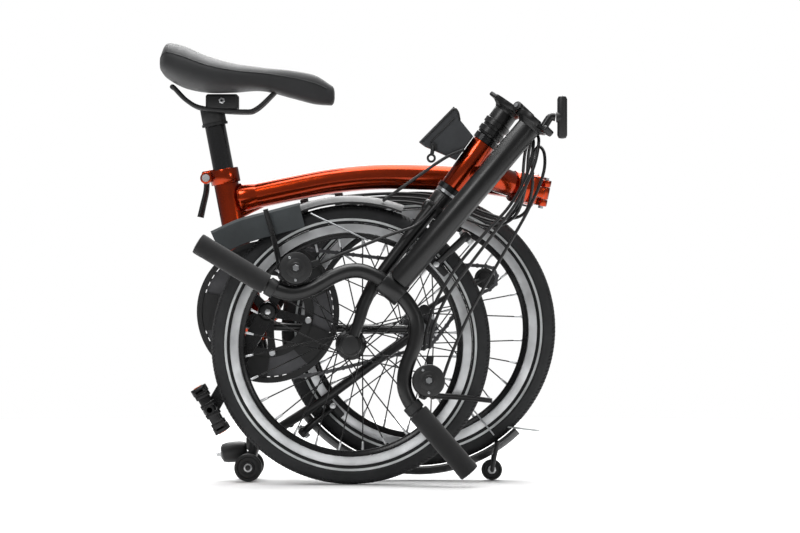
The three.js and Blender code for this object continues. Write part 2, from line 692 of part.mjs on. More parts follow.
const hingeClamp = groupAt(main, [262, 36, 448], [0, 12, 0]);
piece(hingeClamp, 'main_hinge_clamp_lever', joined([
  rod([0, -9, 0], [0, 26, 0], 4, 10),
  box([14, 8, 46], [0, 4, 0]),
  rod([0, 24, -26], [0, 24, 26], 6, 10),
]), blackPlastic);

piece(main, 'seat_clamp_bolt', joined([
  rod([-237, -19, 465], [-237, 13, 465], 3, 10),
  rod([-237, -19, 465], [-237, -11.4, 465], 6, 12),
]), steel);
const seatClamp = groupAt(main, [-237, 19, 465]);
piece(seatClamp, 'seat_clamp_lever', joined([
  rod([-9, 0, 0], [9, 0, 0], 5.5, 12),
  tube([[0, 0, 0], [-1, 3, -20], [-6, 5, -42], [-10, 5, -60]], 5, 6, 5),
]), blackPlastic);

const front = groupAt(main, [0, 0, 0]);
piece(front, 'front_frame', frontFrame(), flameLacquer);
const headGroup = groupAt(front, HEAD_POINT, [0, HEAD_LEAN, 0]);
piece(headGroup, 'upper_headset_cup', sleeve([0, 0, 76.4], [0, 0, 86], 19.5, 15, 20), blackPlastic);
piece(headGroup, 'lower_headset_cup', sleeve([0, 0, -15.5], [0, 0, -7.4], 20.5, 15, 20), blackPlastic);
piece(headGroup, 'carrier_block', carrierBlock(), greyPlastic);
const carrierRelease = groupAt(headGroup, [-59, -24.4, 27]);
piece(carrierRelease, 'carrier_release', joined([
  rod([0, 0, 0], [0, 3.4, 0], 5, 10),
  rod([0, 0, 0], [5, -2, -11], 3, 8),
  ringAboutY([[4, -2], [8, -2], [8, 2], [4, 2]], 14).translate(8, -2, -17),
]), blackPlastic);

const bearing = groupAt(headGroup, [0, 0, 0]);
piece(bearing, 'headset_bearing', sleeve([0, 0, -20.5], [0, 0, -15.9], 19, 15, 20), steel);
const steering = groupAt(bearing, [0, 0, 0]);
piece(steering, 'fork', fork(), satinBlack);
piece(steering, 'steerer_hinge', steererHinge(), satinBlack);
piece(steering, 'front_axle', axle(FRONT_HUB_WIDTH / 2 + 6, 7).translate(...FRONT_HUB_LOCAL), steel);
piece(steering, 'front_mudguard', mudguardBand(FRONT_HUB_LOCAL, 69 + HEAD_LEAN, 112 + HEAD_LEAN, 8), blackPlastic);
piece(steering, 'front_mudguard_flap', mudguardFlap(), flapRubber);
const frontBrakeSpot = groupAt(steering, FRONT_HUB_LOCAL, [0, -79, 0]);
piece(frontBrakeSpot, 'front_brake', brakeCalliper(), blackPlastic);

const frontWheel = groupAt(steering, FRONT_HUB_LOCAL);
piece(frontWheel, 'front_tyre', tyre(), tyreRubber);
piece(frontWheel, 'front_rim', rim(), silver);
piece(frontWheel, 'front_hub', hubShell(FRONT_HUB_WIDTH, 14, 23, 26), blackPlastic);
piece(frontWheel, 'front_spokes', spokes(23, 26), steel);

// the handlepost is turned half a turn about its hinge pin, down beside the front wheel
const postPivot = groupAt(steering, POST_HINGE_PIN);
postPivot.quaternion.setFromAxisAngle(pinDirection, Math.PI);
const post = groupAt(postPivot, POST_HINGE_PIN.map((c) => -c));
piece(post, 'handlepost', handlepost(), satinBlack);
piece(post, 'handlepost_hinge_pin', rod(onPin(-22), onPin(22), 3.5, 10), steel);
const postClamp = groupAt(model, CLAMP_SCREW);
model.updateMatrixWorld(true);
post.attach(postClamp);
piece(postClamp, 'handlepost_clamp_lever', clampLever(), blackPlastic);
const bars = groupAt(post, [0, 0, BAR_HEIGHT]);
piece(bars, 'handlebar', handlebar(), satinBlack);
for (const [name, side] of [['right', -1], ['left', 1]]) {
  piece(bars, `${name}_grip`, grip(side), gripRubber);
  piece(bars, `${name}_shifter`, shifter(side), blackPlastic);
  const lever = groupAt(bars, [0, 0, 0]);
  piece(lever, `${name}_brake_lever`, brakeLever(side), blackPlastic);
  const trigger = groupAt(bars, [0, 0, 0]);
  piece(trigger, `${name}_shift_trigger`, shiftTrigger(side), blackPlastic);
}

const rear = groupAt(main, [0, 0, 0]);
piece(rear, 'rear_frame', rearFrame(), satinBlack);
piece(rear, 'suspension_block', suspensionBlock(), blackPlastic);
piece(rear, 'rear_axle', axle(REAR_HUB_WIDTH / 2 + 6, 7).translate(...REAR_HUB), steel);
piece(rear, 'rear_mudguard', mudguardBand(REAR_HUB, 218, 314, 12), blackPlastic);
const rearBrakeSpot = groupAt(rear, REAR_HUB, [0, -222, 0]);
piece(rearBrakeSpot, 'rear_brake', brakeCalliper(), blackPlastic);
piece(rear, 'mudguard_stay', joined([
  rod([203, -27, SMALL_ROLLER[2]], [203, 27, SMALL_ROLLER[2]], 3, 8),
  box([10, 4, 52], [203, 27, 36], [0, 10, 0]),
  box([10, 4, 52], [203, -27, 36], [0, 10, 0]),
]), blackPlastic);
for (const [name, side] of [['right', -1], ['left', 1]]) {
  const [rx, , rz] = ROLLER_AXLE;
  piece(groupAt(rear, [rx, side * 45, rz]), `${name}_roller`, sleeve([0, -9, 0], [0, 9, 0], ROLLER_RADIUS, 5, 24), blackPlastic);
}
piece(groupAt(rear, SMALL_ROLLER), 'mudguard_roller', sleeve([0, -8, 0], [0, 8, 0], SMALL_ROLLER_RADIUS, 3.5, 20), blackPlastic);
piece(rear, 'chain_tensioner', chainTensioner(), blackPlastic);

const rearWheel = groupAt(rear, REAR_HUB);
piece(rearWheel, 'rear_tyre', tyre(), tyreRubber);
piece(rearWheel, 'rear_rim', rim(), silver);
piece(rearWheel, 'rear_hub', hubShell(REAR_HUB_WIDTH, 20, 30, 30, SPROCKET), silver);
piece(rearWheel, 'rear_spokes', spokes(30, 30), steel);

const cranks = groupAt(main, [0, 0, 0]);
piece(cranks, 'right_crank', crankset(), blackPlastic);
piece(cranks, 'chainring', chainring(), blackPlastic);
piece(cranks, 'chain_guard', chainguard(), blackPlastic);
piece(cranks, 'left_crank', leftCrank(), blackPlastic);
const rightPedal = groupAt(cranks, crankPoint(CRANK_LENGTH, CRANK_ANGLE, 0), [0, -PEDAL_TILT, 0]);
piece(rightPedal, 'right_pedal', rightPedalCage(), blackPlastic);
const leftPedal = groupAt(cranks, crankPoint(CRANK_LENGTH, CRANK_ANGLE - 180, 0));
piece(leftPedal, 'left_pedal', leftPedalCage(), blackPlastic);

const seat = groupAt(main, [0, 0, 0]);
piece(seat, 'seatpost', rod(onSeatAxis(200), onSeatAxis(567), SEATPOST_RADIUS, 20), glossBlack);
piece(seat, 'saddle_rails', saddleRails(), blackPlastic);
piece(seat, 'saddle', saddle(), vinyl);

piece(main, 'chain', chain(), steel);
for (const [name, route] of Object.entries(CABLE_ROUTES)) {
  piece(main, name, tube(route, 2.4, 8, 40), cableBlack);
}

export default model;
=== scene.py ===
"""Folding bicycle, folded: the looks of the part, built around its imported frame."""
import math

import bmesh
import bpy
from mathutils import Matrix, Vector


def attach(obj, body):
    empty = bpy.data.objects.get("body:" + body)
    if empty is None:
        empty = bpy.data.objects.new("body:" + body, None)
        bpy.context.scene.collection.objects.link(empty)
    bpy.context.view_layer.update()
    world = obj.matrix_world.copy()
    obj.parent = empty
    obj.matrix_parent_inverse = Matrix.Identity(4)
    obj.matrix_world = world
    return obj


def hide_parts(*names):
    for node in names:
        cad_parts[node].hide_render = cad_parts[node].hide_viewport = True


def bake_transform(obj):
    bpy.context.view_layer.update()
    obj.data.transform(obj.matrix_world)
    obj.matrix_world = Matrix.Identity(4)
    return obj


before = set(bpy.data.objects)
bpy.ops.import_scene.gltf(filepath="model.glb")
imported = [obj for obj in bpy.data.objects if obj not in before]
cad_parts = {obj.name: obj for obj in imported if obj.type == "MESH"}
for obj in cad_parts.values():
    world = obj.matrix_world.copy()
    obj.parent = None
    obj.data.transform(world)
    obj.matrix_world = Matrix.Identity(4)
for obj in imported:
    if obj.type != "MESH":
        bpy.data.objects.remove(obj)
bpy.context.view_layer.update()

# ---------- driving dimensions, in millimetres, in the frame's own design coordinates ----------
ORIGIN = Vector((2.7, -57.4, 0.0))  # design point that the part has as its origin
REAR_HUB = Vector((90, 0, 233.5))
BOTTOM_BRACKET = Vector((-140, 0, 260))
REAR_PIVOT = Vector((-205, 0, 245))
SEAT_TUBE_POINT = Vector((-197, 0, 408))
SEAT_LEAN = math.radians(10.8)
MAIN_HINGE = Vector((281.9, -29.3, 442))
MAIN_HINGE_AXIS = Vector((0.207, -0.093, 0.974))
MAIN_TUBE_LINE = [
    (-188, 0, 434), (-169, 0, 436.5), (-108, 0, 449), (-43, 0, 461), (27, 0, 467.5),
    (99, 0, 467), (170, 0, 463), (217, 0, 457), (262, 0, 448),
]
HEAD_POINT = Vector((144.2, -118, 454.2))
HEAD_LEAN = math.radians(35.8)
FRONT_HUB_LOCAL = Vector((15, 0, -289))
POST_HINGE_PIN = Vector((20.9, -21, 148))
POST_HINGE_TILT = math.radians(-3.1)
BAR_HEIGHT = 481
BAR_LINE = [
    (0, 0), (20, 0.4), (37, 4), (54, 11), (68, 24), (79, 43), (86, 62), (94, 82), (107, 100),
    (122, 110), (140, 116), (160, 119.3), (212, 127.7), (264, 136),
]
CHAIN_LINE = -48.2
CHAIN_PITCH = 12.7
JOCKEY = Vector((191, 0, 311))
CRANK_LENGTH = 170
CRANK_ANGLE = 240
ROLLER_AXLE = Vector((-170.7, 0, 21.3))
SMALL_ROLLER = Vector((203, 0, 16))
SPOKES = 28
TREAD_BLOCKS = 216

CROSS = Vector((0, 1, 0))
DESIGN = Matrix.Translation(-ORIGIN)
STEERER = DESIGN @ Matrix.Translation(HEAD_POINT) @ Matrix.Rotation(HEAD_LEAN, 4, "Y")
pin_direction = Vector((1, 1, 0)).normalized() * math.cos(POST_HINGE_TILT)
pin_direction.z = math.sin(POST_HINGE_TILT)
POST = (
    STEERER @ Matrix.Translation(POST_HINGE_PIN)
    @ Matrix.Rotation(math.pi, 4, pin_direction) @ Matrix.Translation(-POST_HINGE_PIN)
)
BARS = POST @ Matrix.Translation((0, 0, BAR_HEIGHT))
FRONT_HUB = DESIGN.inverted() @ STEERER @ FRONT_HUB_LOCAL


def around(centre, radius, degrees, y=0.0):
    a = math.radians(degrees)
    return Vector((centre[0] + radius * math.cos(a), y, centre[2] + radius * math.sin(a)))


def on_seat_axis(z):
    t = (z - SEAT_TUBE_POINT.z) / math.cos(SEAT_LEAN)
    return SEAT_TUBE_POINT + Vector((-math.sin(SEAT_LEAN), 0, math.cos(SEAT_LEAN))) * t


def mirrored(points):
    return [(x, -y, z) for x, y, z in points]


# ---------- materials ----------
def surface(name, colour, roughness, metallic=0.0, coat=0.0, grain=900.0, relief=0.1,
            patches=25.0, variation=0.18, sheen=0.0):
    """A shader with patchy colour and roughness, and a fine grain in its relief."""
    material = bpy.data.materials.new(name)
    material.use_nodes = True
    nodes, links = material.node_tree.nodes, material.node_tree.links
    shader = nodes["Principled BSDF"]
    shader.inputs["Metallic"].default_value = metallic
    shader.inputs["Coat Weight"].default_value = coat
    shader.inputs["Coat Roughness"].default_value = 0.04
    shader.inputs["Sheen Weight"].default_value = sheen
    place = nodes.new("ShaderNodeTexCoord").outputs["Object"]

    def noise(scale, detail):
        node = nodes.new("ShaderNodeTexNoise")
        node.inputs["Scale"].default_value = scale
        node.inputs["Detail"].default_value = detail
        links.new(place, node.inputs["Vector"])
        return node.outputs["Fac"]

    wide = noise(patches, 4.0)
    ramp = nodes.new("ShaderNodeValToRGB")
    ramp.color_ramp.elements[0].position = 0.35
    ramp.color_ramp.elements[1].position = 0.65
    ramp.color_ramp.elements[0].color = [c * (1 - variation) for c in colour] + [1]
    ramp.color_ramp.elements[1].color = [min(c * (1 + variation), 1) for c in colour] + [1]
    links.new(wide, ramp.inputs["Fac"])
    links.new(ramp.outputs["Color"], shader.inputs["Base Color"])
    rough = nodes.new("ShaderNodeMapRange")
    rough.inputs["To Min"].default_value = max(roughness - 0.07, 0.02)
    rough.inputs["To Max"].default_value = min(roughness + 0.07, 1)
    links.new(noise(patches * 3, 5.0), rough.inputs["Value"])
    links.new(rough.outputs["Result"], shader.inputs["Roughness"])
    bump = nodes.new("ShaderNodeBump")
    bump.inputs["Strength"].default_value = relief
    bump.inputs["Distance"].default_value = 0.0004
    links.new(noise(grain, 3.0), bump.inputs["Height"])
    links.new(bump.outputs["Normal"], shader.inputs["Normal"])
    return material


def paint_edge_shade(material, edge_shade_colour):
    """Blends the colour into a darker one where the surface turns away from the view: a painted shade on
    the rims, which moves with the view.
    """
    nodes, links = material.node_tree.nodes, material.node_tree.links
    base = nodes["Principled BSDF"].inputs["Base Color"]
    facing = nodes.new("ShaderNodeLayerWeight")
    facing.inputs["Blend"].default_value = 0.55
    mix = nodes.new("ShaderNodeMix")
    mix.data_type = "RGBA"
    links.new(facing.outputs["Facing"], mix.inputs["Factor"])
    links.new(base.links[0].from_socket, mix.inputs["A"])
    mix.inputs["B"].default_value = (*edge_shade_colour, 1)
    links.new(mix.outputs["Result"], base)
    return material


# the lacquer's colour is blended into a dark red-brown where the tubes turn away from the view: painted
# shade
LACQUER = paint_edge_shade(
    surface("flame_lacquer", (0.5, 0.042, 0.003), 0.2, 0.95, coat=0.35, grain=2600, relief=0.1,
            patches=9, variation=0.25),
    (0.07, 0.004, 0.001),
)
SATIN = surface("satin_black", (0.0025, 0.0026, 0.0028), 0.34, 0.0, grain=1800, relief=0.1)
GLOSS = surface("gloss_black", (0.006, 0.006, 0.007), 0.16, 0.2, coat=0.8, grain=300, relief=0.03)
TYRE = surface("tyre_rubber", (0.013, 0.0135, 0.0145), 0.82, grain=420, relief=0.5, patches=40)
STRIPE = surface("reflective_stripe", (0.52, 0.54, 0.54), 0.5, grain=2500, relief=0.25)
GRIP = surface("grip_foam", (0.008, 0.008, 0.0085), 0.95, grain=1500, relief=0.6, sheen=0.2)
FLAP = surface("flap_rubber", (0.034, 0.04, 0.043), 0.66, grain=500, relief=0.25)
GREY = surface("grey_plastic", (0.026, 0.028, 0.031), 0.55, grain=1500, relief=0.3)
BLACK = surface("black_plastic", (0.006, 0.0062, 0.0066), 0.48, grain=1600, relief=0.25)
ANODISED = surface("anodised_black", (0.006, 0.006, 0.0065), 0.28, 0.3, grain=1400, relief=0.08)
VINYL = surface("saddle_vinyl", (0.009, 0.0095, 0.0105), 0.62, grain=1100, relief=0.55, sheen=0.15)
SILVER = surface("machined_aluminium", (0.62, 0.63, 0.64), 0.34, 0.85, grain=600, relief=0.08)
STEEL = surface("zinc_steel", (0.36, 0.37, 0.38), 0.34, 0.9, grain=700, relief=0.12)
DARK_STEEL = surface("chain_steel", (0.10, 0.10, 0.105), 0.42, 0.85, grain=700, relief=0.2)
CABLE = surface("cable_sheath", (0.004, 0.004, 0.0045), 0.4, grain=900, relief=0.08)
REFLECTOR = surface("amber_reflector", (0.75, 0.13, 0.01), 0.18, coat=1.0, grain=260, relief=0.6)


# ---------- shape helpers ----------
def smooth_line(points, steps):
    """A Catmull-Rom line through the points, with that many steps between each two."""
    p = [Vector(q) for q in points]
    p = [p[0] * 2 - p[1], *p, p[-1] * 2 - p[-2]]
    line = []
    for i in range(1, len(p) - 2):
        a, b, c, d = p[i - 1:i + 3]
        for s in range(steps):
            t = s / steps
            line.append(
                0.5 * (2 * b + (c - a) * t + (2 * a - 5 * b + 4 * c - d) * t ** 2
                       + (3 * b - a - 3 * c + d) * t ** 3)
            )
    return [*line, p[-2]]


class Shape:
    """A mesh built up from tubes, turned profiles and rounded blocks, in millimetres."""

    def __init__(self, place=DESIGN):
        self.bm = bmesh.new()
        self.place = place

    def rings(self, rings, closed=False, caps=True):
        """Skins a row of vertex rings, each a list of points."""
        rows = [[self.bm.verts.new(self.place @ Vector(p)) for p in ring] for ring in rings]
        pairs = list(zip(rows, rows[1:]))
        if closed:
            pairs.append((rows[-1], rows[0]))
        for low, high in pairs:
            for i in range(len(low)):
                j = (i + 1) % len(low)
                self.bm.faces.new((low[i], low[j], high[j], high[i]))
        if caps and not closed:
            self.bm.faces.new(rows[0][::-1])
            self.bm.faces.new(rows[-1])
        return self

    def tube(self, points, radius, sides=24, steps=6, end_radius=None, flatten=1.0):
        """A round tube along a smooth line. flatten narrows it across the line's side."""
        line = smooth_line(points, steps) if steps > 1 else [Vector(q) for q in points]
        end_radius = radius if end_radius is None else end_radius
        side = None
        rings = []
        for i, centre in enumerate(line):
            ahead = (line[min(i + 1, len(line) - 1)] - line[max(i - 1, 0)]).normalized()
            if side is None:
                side = ahead.orthogonal().normalized()
            side = (side - ahead * side.dot(ahead)).normalized()
            up = ahead.cross(side)
            r = radius + (end_radius - radius) * i / (len(line) - 1)
            turns = [2 * math.pi * k / sides for k in range(sides)]
            rings.append([centre + side * r * math.cos(a) + up * r * flatten * math.sin(a) for a in turns])
        return self.rings(rings)

    def rod(self, start, end, radius, end_radius=None, sides=32, soft=0.8):
        """A straight round bar with softened edges."""
        start, end = Vector(start), Vector(end)
        axis = end - start
        length = axis.length
        end_radius = radius if end_radius is None else end_radius
        soft = min(soft, radius * 0.4, end_radius * 0.4, length * 0.3)
        profile = [
            (radius - soft, 0), (radius - soft * 0.3, soft * 0.3), (radius, soft),
            (end_radius, length - soft), (end_radius - soft * 0.3, length - soft * 0.3),
            (end_radius - soft, length),
        ]
        return self.turned(profile, start, axis, sides)

    def turned(self, profile, centre, axis=CROSS, sides=64, closed=False):
        """A profile of (radius, distance along the axis), turned about an axis through centre."""
        axis = Vector(axis).normalized()
        u = axis.orthogonal().normalized()
        v = axis.cross(u)
        turns = [2 * math.pi * k / sides for k in range(sides)]
        rings = [
            [Vector(centre) + axis * along + (u * math.cos(a) + v * math.sin(a)) * r for a in turns]
            for r, along in profile
        ]
        return self.rings(rings, closed=closed)

    def block(self, size, centre, turn=(0, 0, 0), soft=1.2):
        """A block with rounded edges."""
        part = bmesh.new()
        bmesh.ops.create_cube(part, size=1.0)
        bmesh.ops.scale(part, vec=Vector(size), verts=part.verts)
        edges = list(part.edges)
        bmesh.ops.bevel(part, geom=edges, offset=min(soft, min(size) * 0.3), segments=3,
                        profile=0.5, affect="EDGES")
        spin = Matrix.Identity(4)
        for angle, name in zip(turn, "XYZ"):
            spin = spin @ Matrix.Rotation(math.radians(angle), 4, name)
        bmesh.ops.transform(part, verts=part.verts,
                            matrix=self.place @ Matrix.Translation(Vector(centre)) @ spin)
        self.merge(part)
        return self

    def plate(self, outline, thickness, centre, across, along, soft=0.6):
        """A flat plate of an outline of (x, y) points along the two directions."""
        across, along = Vector(across).normalized(), Vector(along).normalized()
        normal = across.cross(along)
        inset = 1 - soft / max(max(abs(x), abs(y)) for x, y in outline)
        layers = [(inset, -0.5), (1, -0.5 + soft / thickness), (1, 0.5 - soft / thickness), (inset, 0.5)]
        rings = []
        for scale, level in layers:
            lift = Vector(centre) + normal * thickness * level
            rings.append([lift + (across * x + along * y) * scale for x, y in outline])
        return self.rings(rings)

    def merge(self, part):
        mesh = bpy.data.meshes.new("part")
        part.to_mesh(mesh)
        part.free()
        self.bm.from_mesh(mesh)
        bpy.data.meshes.remove(mesh)

    def finish(self, name, material, body, *nodes, angle=38):
        """Makes the object, puts it on its body, and hides the CAD nodes that it stands for."""
        bmesh.ops.recalc_face_normals(self.bm, faces=self.bm.faces)
        bmesh.ops.scale(self.bm, vec=Vector((0.001, 0.001, 0.001)), verts=self.bm.verts)
        mesh = bpy.data.meshes.new(name)
        self.bm.to_mesh(mesh)
        self.bm.free()
        mesh.materials.append(material)
        piece = bpy.data.objects.new(name, mesh)
        bpy.context.scene.collection.objects.link(piece)
        shade(piece, angle)
        if body:
            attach(piece, body)
        if nodes:
            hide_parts(*nodes)
        return piece


def shade(piece, angle):
    piece.data.shade_smooth()
    piece.data.set_sharp_from_angle(angle=math.radians(angle))


# ---------- camera ----------
camera_data = bpy.data.cameras.new("camera")
camera_data.lens = 181
camera_data.clip_end = 50
camera = bpy.data.objects.new("camera", camera_data)
camera.location = (DESIGN @ Vector((61.6, -6200, 329))) * 0.001
camera.rotation_euler = (math.pi / 2, 0, 0)
bpy.context.scene.collection.objects.link(camera)
bpy.context.scene.camera = camera

# ---------- cables: the two brake cables follow the routes of the CAD pieces ----------
CABLE_ROUTES = {
    "front_brake_cable": [
        (-74, -164, 326), (-40, -167, 342), (10, -170, 362), (50, -171, 378), (85, -170, 390),
        (108, -166, 412), (128, -160, 436),
    ],
    "rear_brake_cable": [
        (126, -162, 162), (140, -162, 200), (168, -164, 262), (212, -165, 340), (252, -162, 410),
        (276, -154, 465), (279, -144, 498), (270, -132, 510), (262, -122, 490), (262, -112, 450),
        (252, -95, 412), (226, -64, 402), (190, -34, 412), (150, -26, 428), (90, -25, 440),
        (20, -25, 440), (-50, -25, 432), (-110, -25, 418), (-140, -26, 396),
    ],
}

# two shift cables beside the rear brake cable, and a short one at the head tube
SHIFT_ROUTE = [
    (98, -172, 204), (102, -174, 236), (117, -174, 280), (148, -173, 330), (188, -172, 378),
    (226, -171, 420), (252, -168, 468), (262, -160, 512), (258, -148, 522), (250, -138, 500),
    (246, -122, 456), (240, -98, 420), (216, -62, 398), (184, -40, 404), (140, -31, 424),
    (80, -31, 434), (20, -31, 434), (-50, -31, 426),
]
SECOND_SHIFT_ROUTE = [
    (106, -178, 206), (112, -179, 240), (132, -179, 284), (168, -178, 334), (206, -177, 384),
    (238, -176, 428), (262, -172, 478), (270, -160, 518), (264, -146, 526), (256, -132, 502),
    (252, -116, 452), (238, -90, 408), (206, -60, 390), (172, -44, 398), (130, -37, 416),
    (70, -37, 428), (0, -37, 426), (-60, -37, 416),
]
HEAD_ROUTE = [(158, -141, 505), (132, -145, 494), (96, -146, 470), (62, -144, 446), (36, -138, 428)]


def cable(name, points, body, node=None, radius=2.4):
    """A control cable: a smooth round sheath along the given points."""
    shape = Shape().tube(points, radius, sides=14, steps=6)
    piece = shape.finish(name, CABLE, body, *([node] if node else []))
    return piece


cable("front_cable", CABLE_ROUTES["front_brake_cable"], "fork", "front_brake_cable")
cable("rear_cable", CABLE_ROUTES["rear_brake_cable"], None, "rear_brake_cable")
cable("shift_cable", SHIFT_ROUTE, None)
cable("second_shift_cable", SECOND_SHIFT_ROUTE, None)
for cord in ("rear_cable", "shift_cable", "second_shift_cable"):
    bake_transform(bpy.data.objects[cord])
cable("head_cable", HEAD_ROUTE, "front_section")


# ---------- wheels ----------
def tyre_profile():
    w = 18.5
    crown = []
    for k in range(-9, 10):
        a = k / 9 * math.radians(80)
        crown.append((211 - 17.5 * (1 - math.cos(a)) * 0.95, math.sin(a) * (w - 1.2)))
    groove = []
    for r, y in crown:
        groove.append((r - (0.9 if abs(abs(y) - 4.5) < 1.2 else 0), y))
    wall = [(193.5, w), (188, 16), (184.5, 10.5)]
    return [(r, -y) for r, y in reversed(wall)] + groove + wall


def wheel(side_name, hub, body, flange_radius, flange_y):
    tyre = Shape()
    tyre.turned(tyre_profile(), hub, sides=180, closed=True)
    for k in range(TREAD_BLOCKS):
        for side in (-1, 1):
            a = 360 / TREAD_BLOCKS * (k + side * 0.25)
            outer = around(hub, 207.0, a, hub.y + side * 12.6)
            inner = around(hub, 210.3, a + 1.0, hub.y + side * 6.0)
            tyre.rod(outer, inner, 1.0, sides=6, soft=0.2)
    tyre.finish(f"{side_name}_tyre_body", TYRE, body, f"{side_name}_tyre")
    stripe = Shape()
    for side in (-1, 1):
        profile = [(187.2, side * 16.2), (190.6, side * 17.7), (190.6, side * 17.2), (187.2, side * 15.8)]
        stripe.turned(profile, hub, sides=180, closed=True)
    stripe.finish(f"{side_name}_tyre_stripe", STRIPE, body)
    track = Shape()
    for side in (-1, 1):
        profile = [(169.5, side * 10.0), (170.5, side * 10.9), (180.6, side * 11.3), (182.5, side * 10.6),
                   (182.5, side * 9.0), (169.5, side * 8.6)]
        track.turned(profile, hub, sides=180, closed=True)
    track.finish(f"{side_name}_brake_track", SILVER, body, f"{side_name}_rim")
    bed = Shape()
    bed.turned([(160.8, -5.5), (162.5, -7.6), (169.4, -9.9), (184, -10.4), (184, 10.4), (169.4, 9.9),
                (162.5, 7.6), (160.8, 5.5)], hub, sides=180, closed=True)
    bed.finish(f"{side_name}_rim_bed", ANODISED, body)
    wires = Shape()
    nipples = Shape()
    for i in range(SPOKES):
        side = 1 if i % 2 else -1
        lead = 1 if i % 4 < 2 else -1
        at_rim = 360 / SPOKES * (i + 0.5)
        outer = around(hub, 161, at_rim, hub.y + side * (2.2 + lead))
        inner = around(hub, flange_radius - 2.5, at_rim + lead * 52, hub.y + side * (flange_y + 2.2 * lead))
        wires.rod(inner, outer, 1.0, sides=10, soft=0.1)
        toward = (inner - outer).normalized()
        nipples.rod(outer, outer + toward * 13, 2.1, 1.7, sides=12, soft=0.4)
    wires.finish(f"{side_name}_spoke_wires", ANODISED, body, f"{side_name}_spokes")
    nipples.finish(f"{side_name}_nipples", SILVER, body)


wheel("front", FRONT_HUB, "front_wheel", 23, 26)
wheel("rear", REAR_HUB, "rear_wheel", 30, 30)


def hub_shell(name, hub, body, width, shell, flange, flange_y, material, node):
    end = width / 2 - 0.4
    profile = [(5.2, -end), (10.4, -end), (11, -end + 1), (11.5, -flange_y - 6), (shell, -flange_y - 3),
               (flange - 0.6, -flange_y - 1.6), (flange, -flange_y - 1), (flange, -flange_y + 1),
               (shell + 1, -flange_y + 3), (shell, -flange_y + 7)]
    shape = Shape()
    mirror = [(r, -y) for r, y in reversed(profile)]
    shape.turned(profile + mirror, hub, sides=72, closed=True)
    shape.finish(name, material, body, node)


hub_shell("front_hub_shell", FRONT_HUB, "front_wheel", 74, 14, 23, 26, ANODISED, "front_hub")
hub_shell("rear_hub_shell", REAR_HUB, "rear_wheel", 112, 20, 30, 30, SILVER, "rear_hub")

sprocket = Shape()
for k in range(13):
    a = 360 / 13 * k
    tooth = [around(REAR_HUB, r, a + d, CHAIN_LINE + y) for r, d, y in
             ((24, -9, -1.1), (29, -3, -0.6), (29, 3, -0.6), (24, 9, -1.1))]
    back = [p + Vector((0, 2.2, 0)) for p in tooth]
    sprocket.rings([tooth, back])
sprocket.turned([(14, -1.1), (25.4, -1.1), (25.4, 1.1), (14, 1.1)], REAR_HUB + CROSS * CHAIN_LINE,
                sides=52, closed=True)
sprocket.finish("rear_sprocket", DARK_STEEL, "rear_wheel")


def axle_set(name, hub, half, body, node, cap):
    """An axle with a domed nut and a washer at each end."""
    shape = Shape()
    shape.rod(hub - CROSS * (half + 9), hub + CROSS * (half + 9), 4.6)
    for side in (-1, 1):
        face = hub + CROSS * side * (half + 0.4)
        shape.turned([(cap, 0), (cap, 1.6), (cap - 1, 2.2), (9, 2.2)], face, CROSS * side, 48)
        shape.turned([(9, 0), (9, 5.8), (7.8, 7.0), (5, 7.2)], face, CROSS * side, 6)
    shape.finish(name, STEEL, body, node, angle=25)


axle_set("front_axle_set", FRONT_HUB, 43, "fork", "front_axle", 12)
axle_caps = Shape()
axle_caps.turned([(15, 0), (15, 2), (12.6, 5), (4, 6.2)], FRONT_HUB - CROSS * 50.2, -CROSS, 48)
axle_caps.finish("front_axle_cap", BLACK, "fork")
axle_set("rear_axle_set", REAR_HUB, 62, "rear_frame", "rear_axle", 13)

# ---------- main frame ----------
def hinge_point(t):
    return MAIN_HINGE + MAIN_HINGE_AXIS * t


main = Shape()
main.tube(MAIN_TUBE_LINE, 20, sides=48, steps=10)
main.rod(on_seat_axis(214), on_seat_axis(478), 19, sides=48, soft=1.0)
main.rod(BOTTOM_BRACKET - CROSS * 32, BOTTOM_BRACKET + CROSS * 32, 17.5, sides=40)
main.rod(REAR_PIVOT - CROSS * 31, REAR_PIVOT + CROSS * 31, 13, sides=32)
main.block((34, 40, 18), (-186, 0, 245), soft=4)
main.tube([(-128, 0, 440), on_seat_axis(405), on_seat_axis(392)], 9, steps=4)
main.rod((252, 0, 450), (271, 0, 446), 24, 26, sides=40, soft=2)
main.block((16, 34, 44), (272, -12, 446), (0, 12, 0), soft=4)
main.rod(hinge_point(-20), hinge_point(-10), 8.5)
main.rod(hinge_point(10), hinge_point(20), 8.5)
main.rod((-186, 0, 433.6), (-158, 0, 438.6), 23.5, 20.4, sides=48, soft=2)
main.rod((236, 0, 453.4), (254, 0, 449.6), 20.4, 23, sides=48, soft=2)
main.finish("main_tubes", LACQUER, "frame", "main_frame")

collar = Shape()
collar.turned([(16.3, 0), (22, 0), (22.6, 1), (22.6, 21), (22, 22), (16.3, 22)], on_seat_axis(457),
              on_seat_axis(480) - on_seat_axis(457), 48, closed=True)
collar.block((24, 20, 19), (-231, 0, 468), (0, -10.8, 0), soft=4)
collar.rod((-237, -11, 465), (-237, 11, 465), 9)
collar.finish("seat_clamp_collar", LACQUER, "frame")

# ---------- front frame and head ----------
front = Shape()
head_axis = Vector((math.sin(HEAD_LEAN), 0, math.cos(HEAD_LEAN)))
front.rod(HEAD_POINT - head_axis * 7, HEAD_POINT + head_axis * 76, 18, sides=48)
front.rod(HEAD_POINT + head_axis * 30, (238, -70, 452), 20, sides=48)
front.rod((232, -73, 452), (251, -65, 448), 24, 25, sides=40, soft=2)
front.block((16, 34, 42), (258, -60, 447), (0, 12, 28), soft=4)
front.block((18, 30, 17), (272, -46, 443.5), (0, 12, 10), soft=3)
front.rod(hinge_point(-9.2), hinge_point(9.2), 8.5)
front.finish("front_tubes", LACQUER, "front_section", "front_frame")

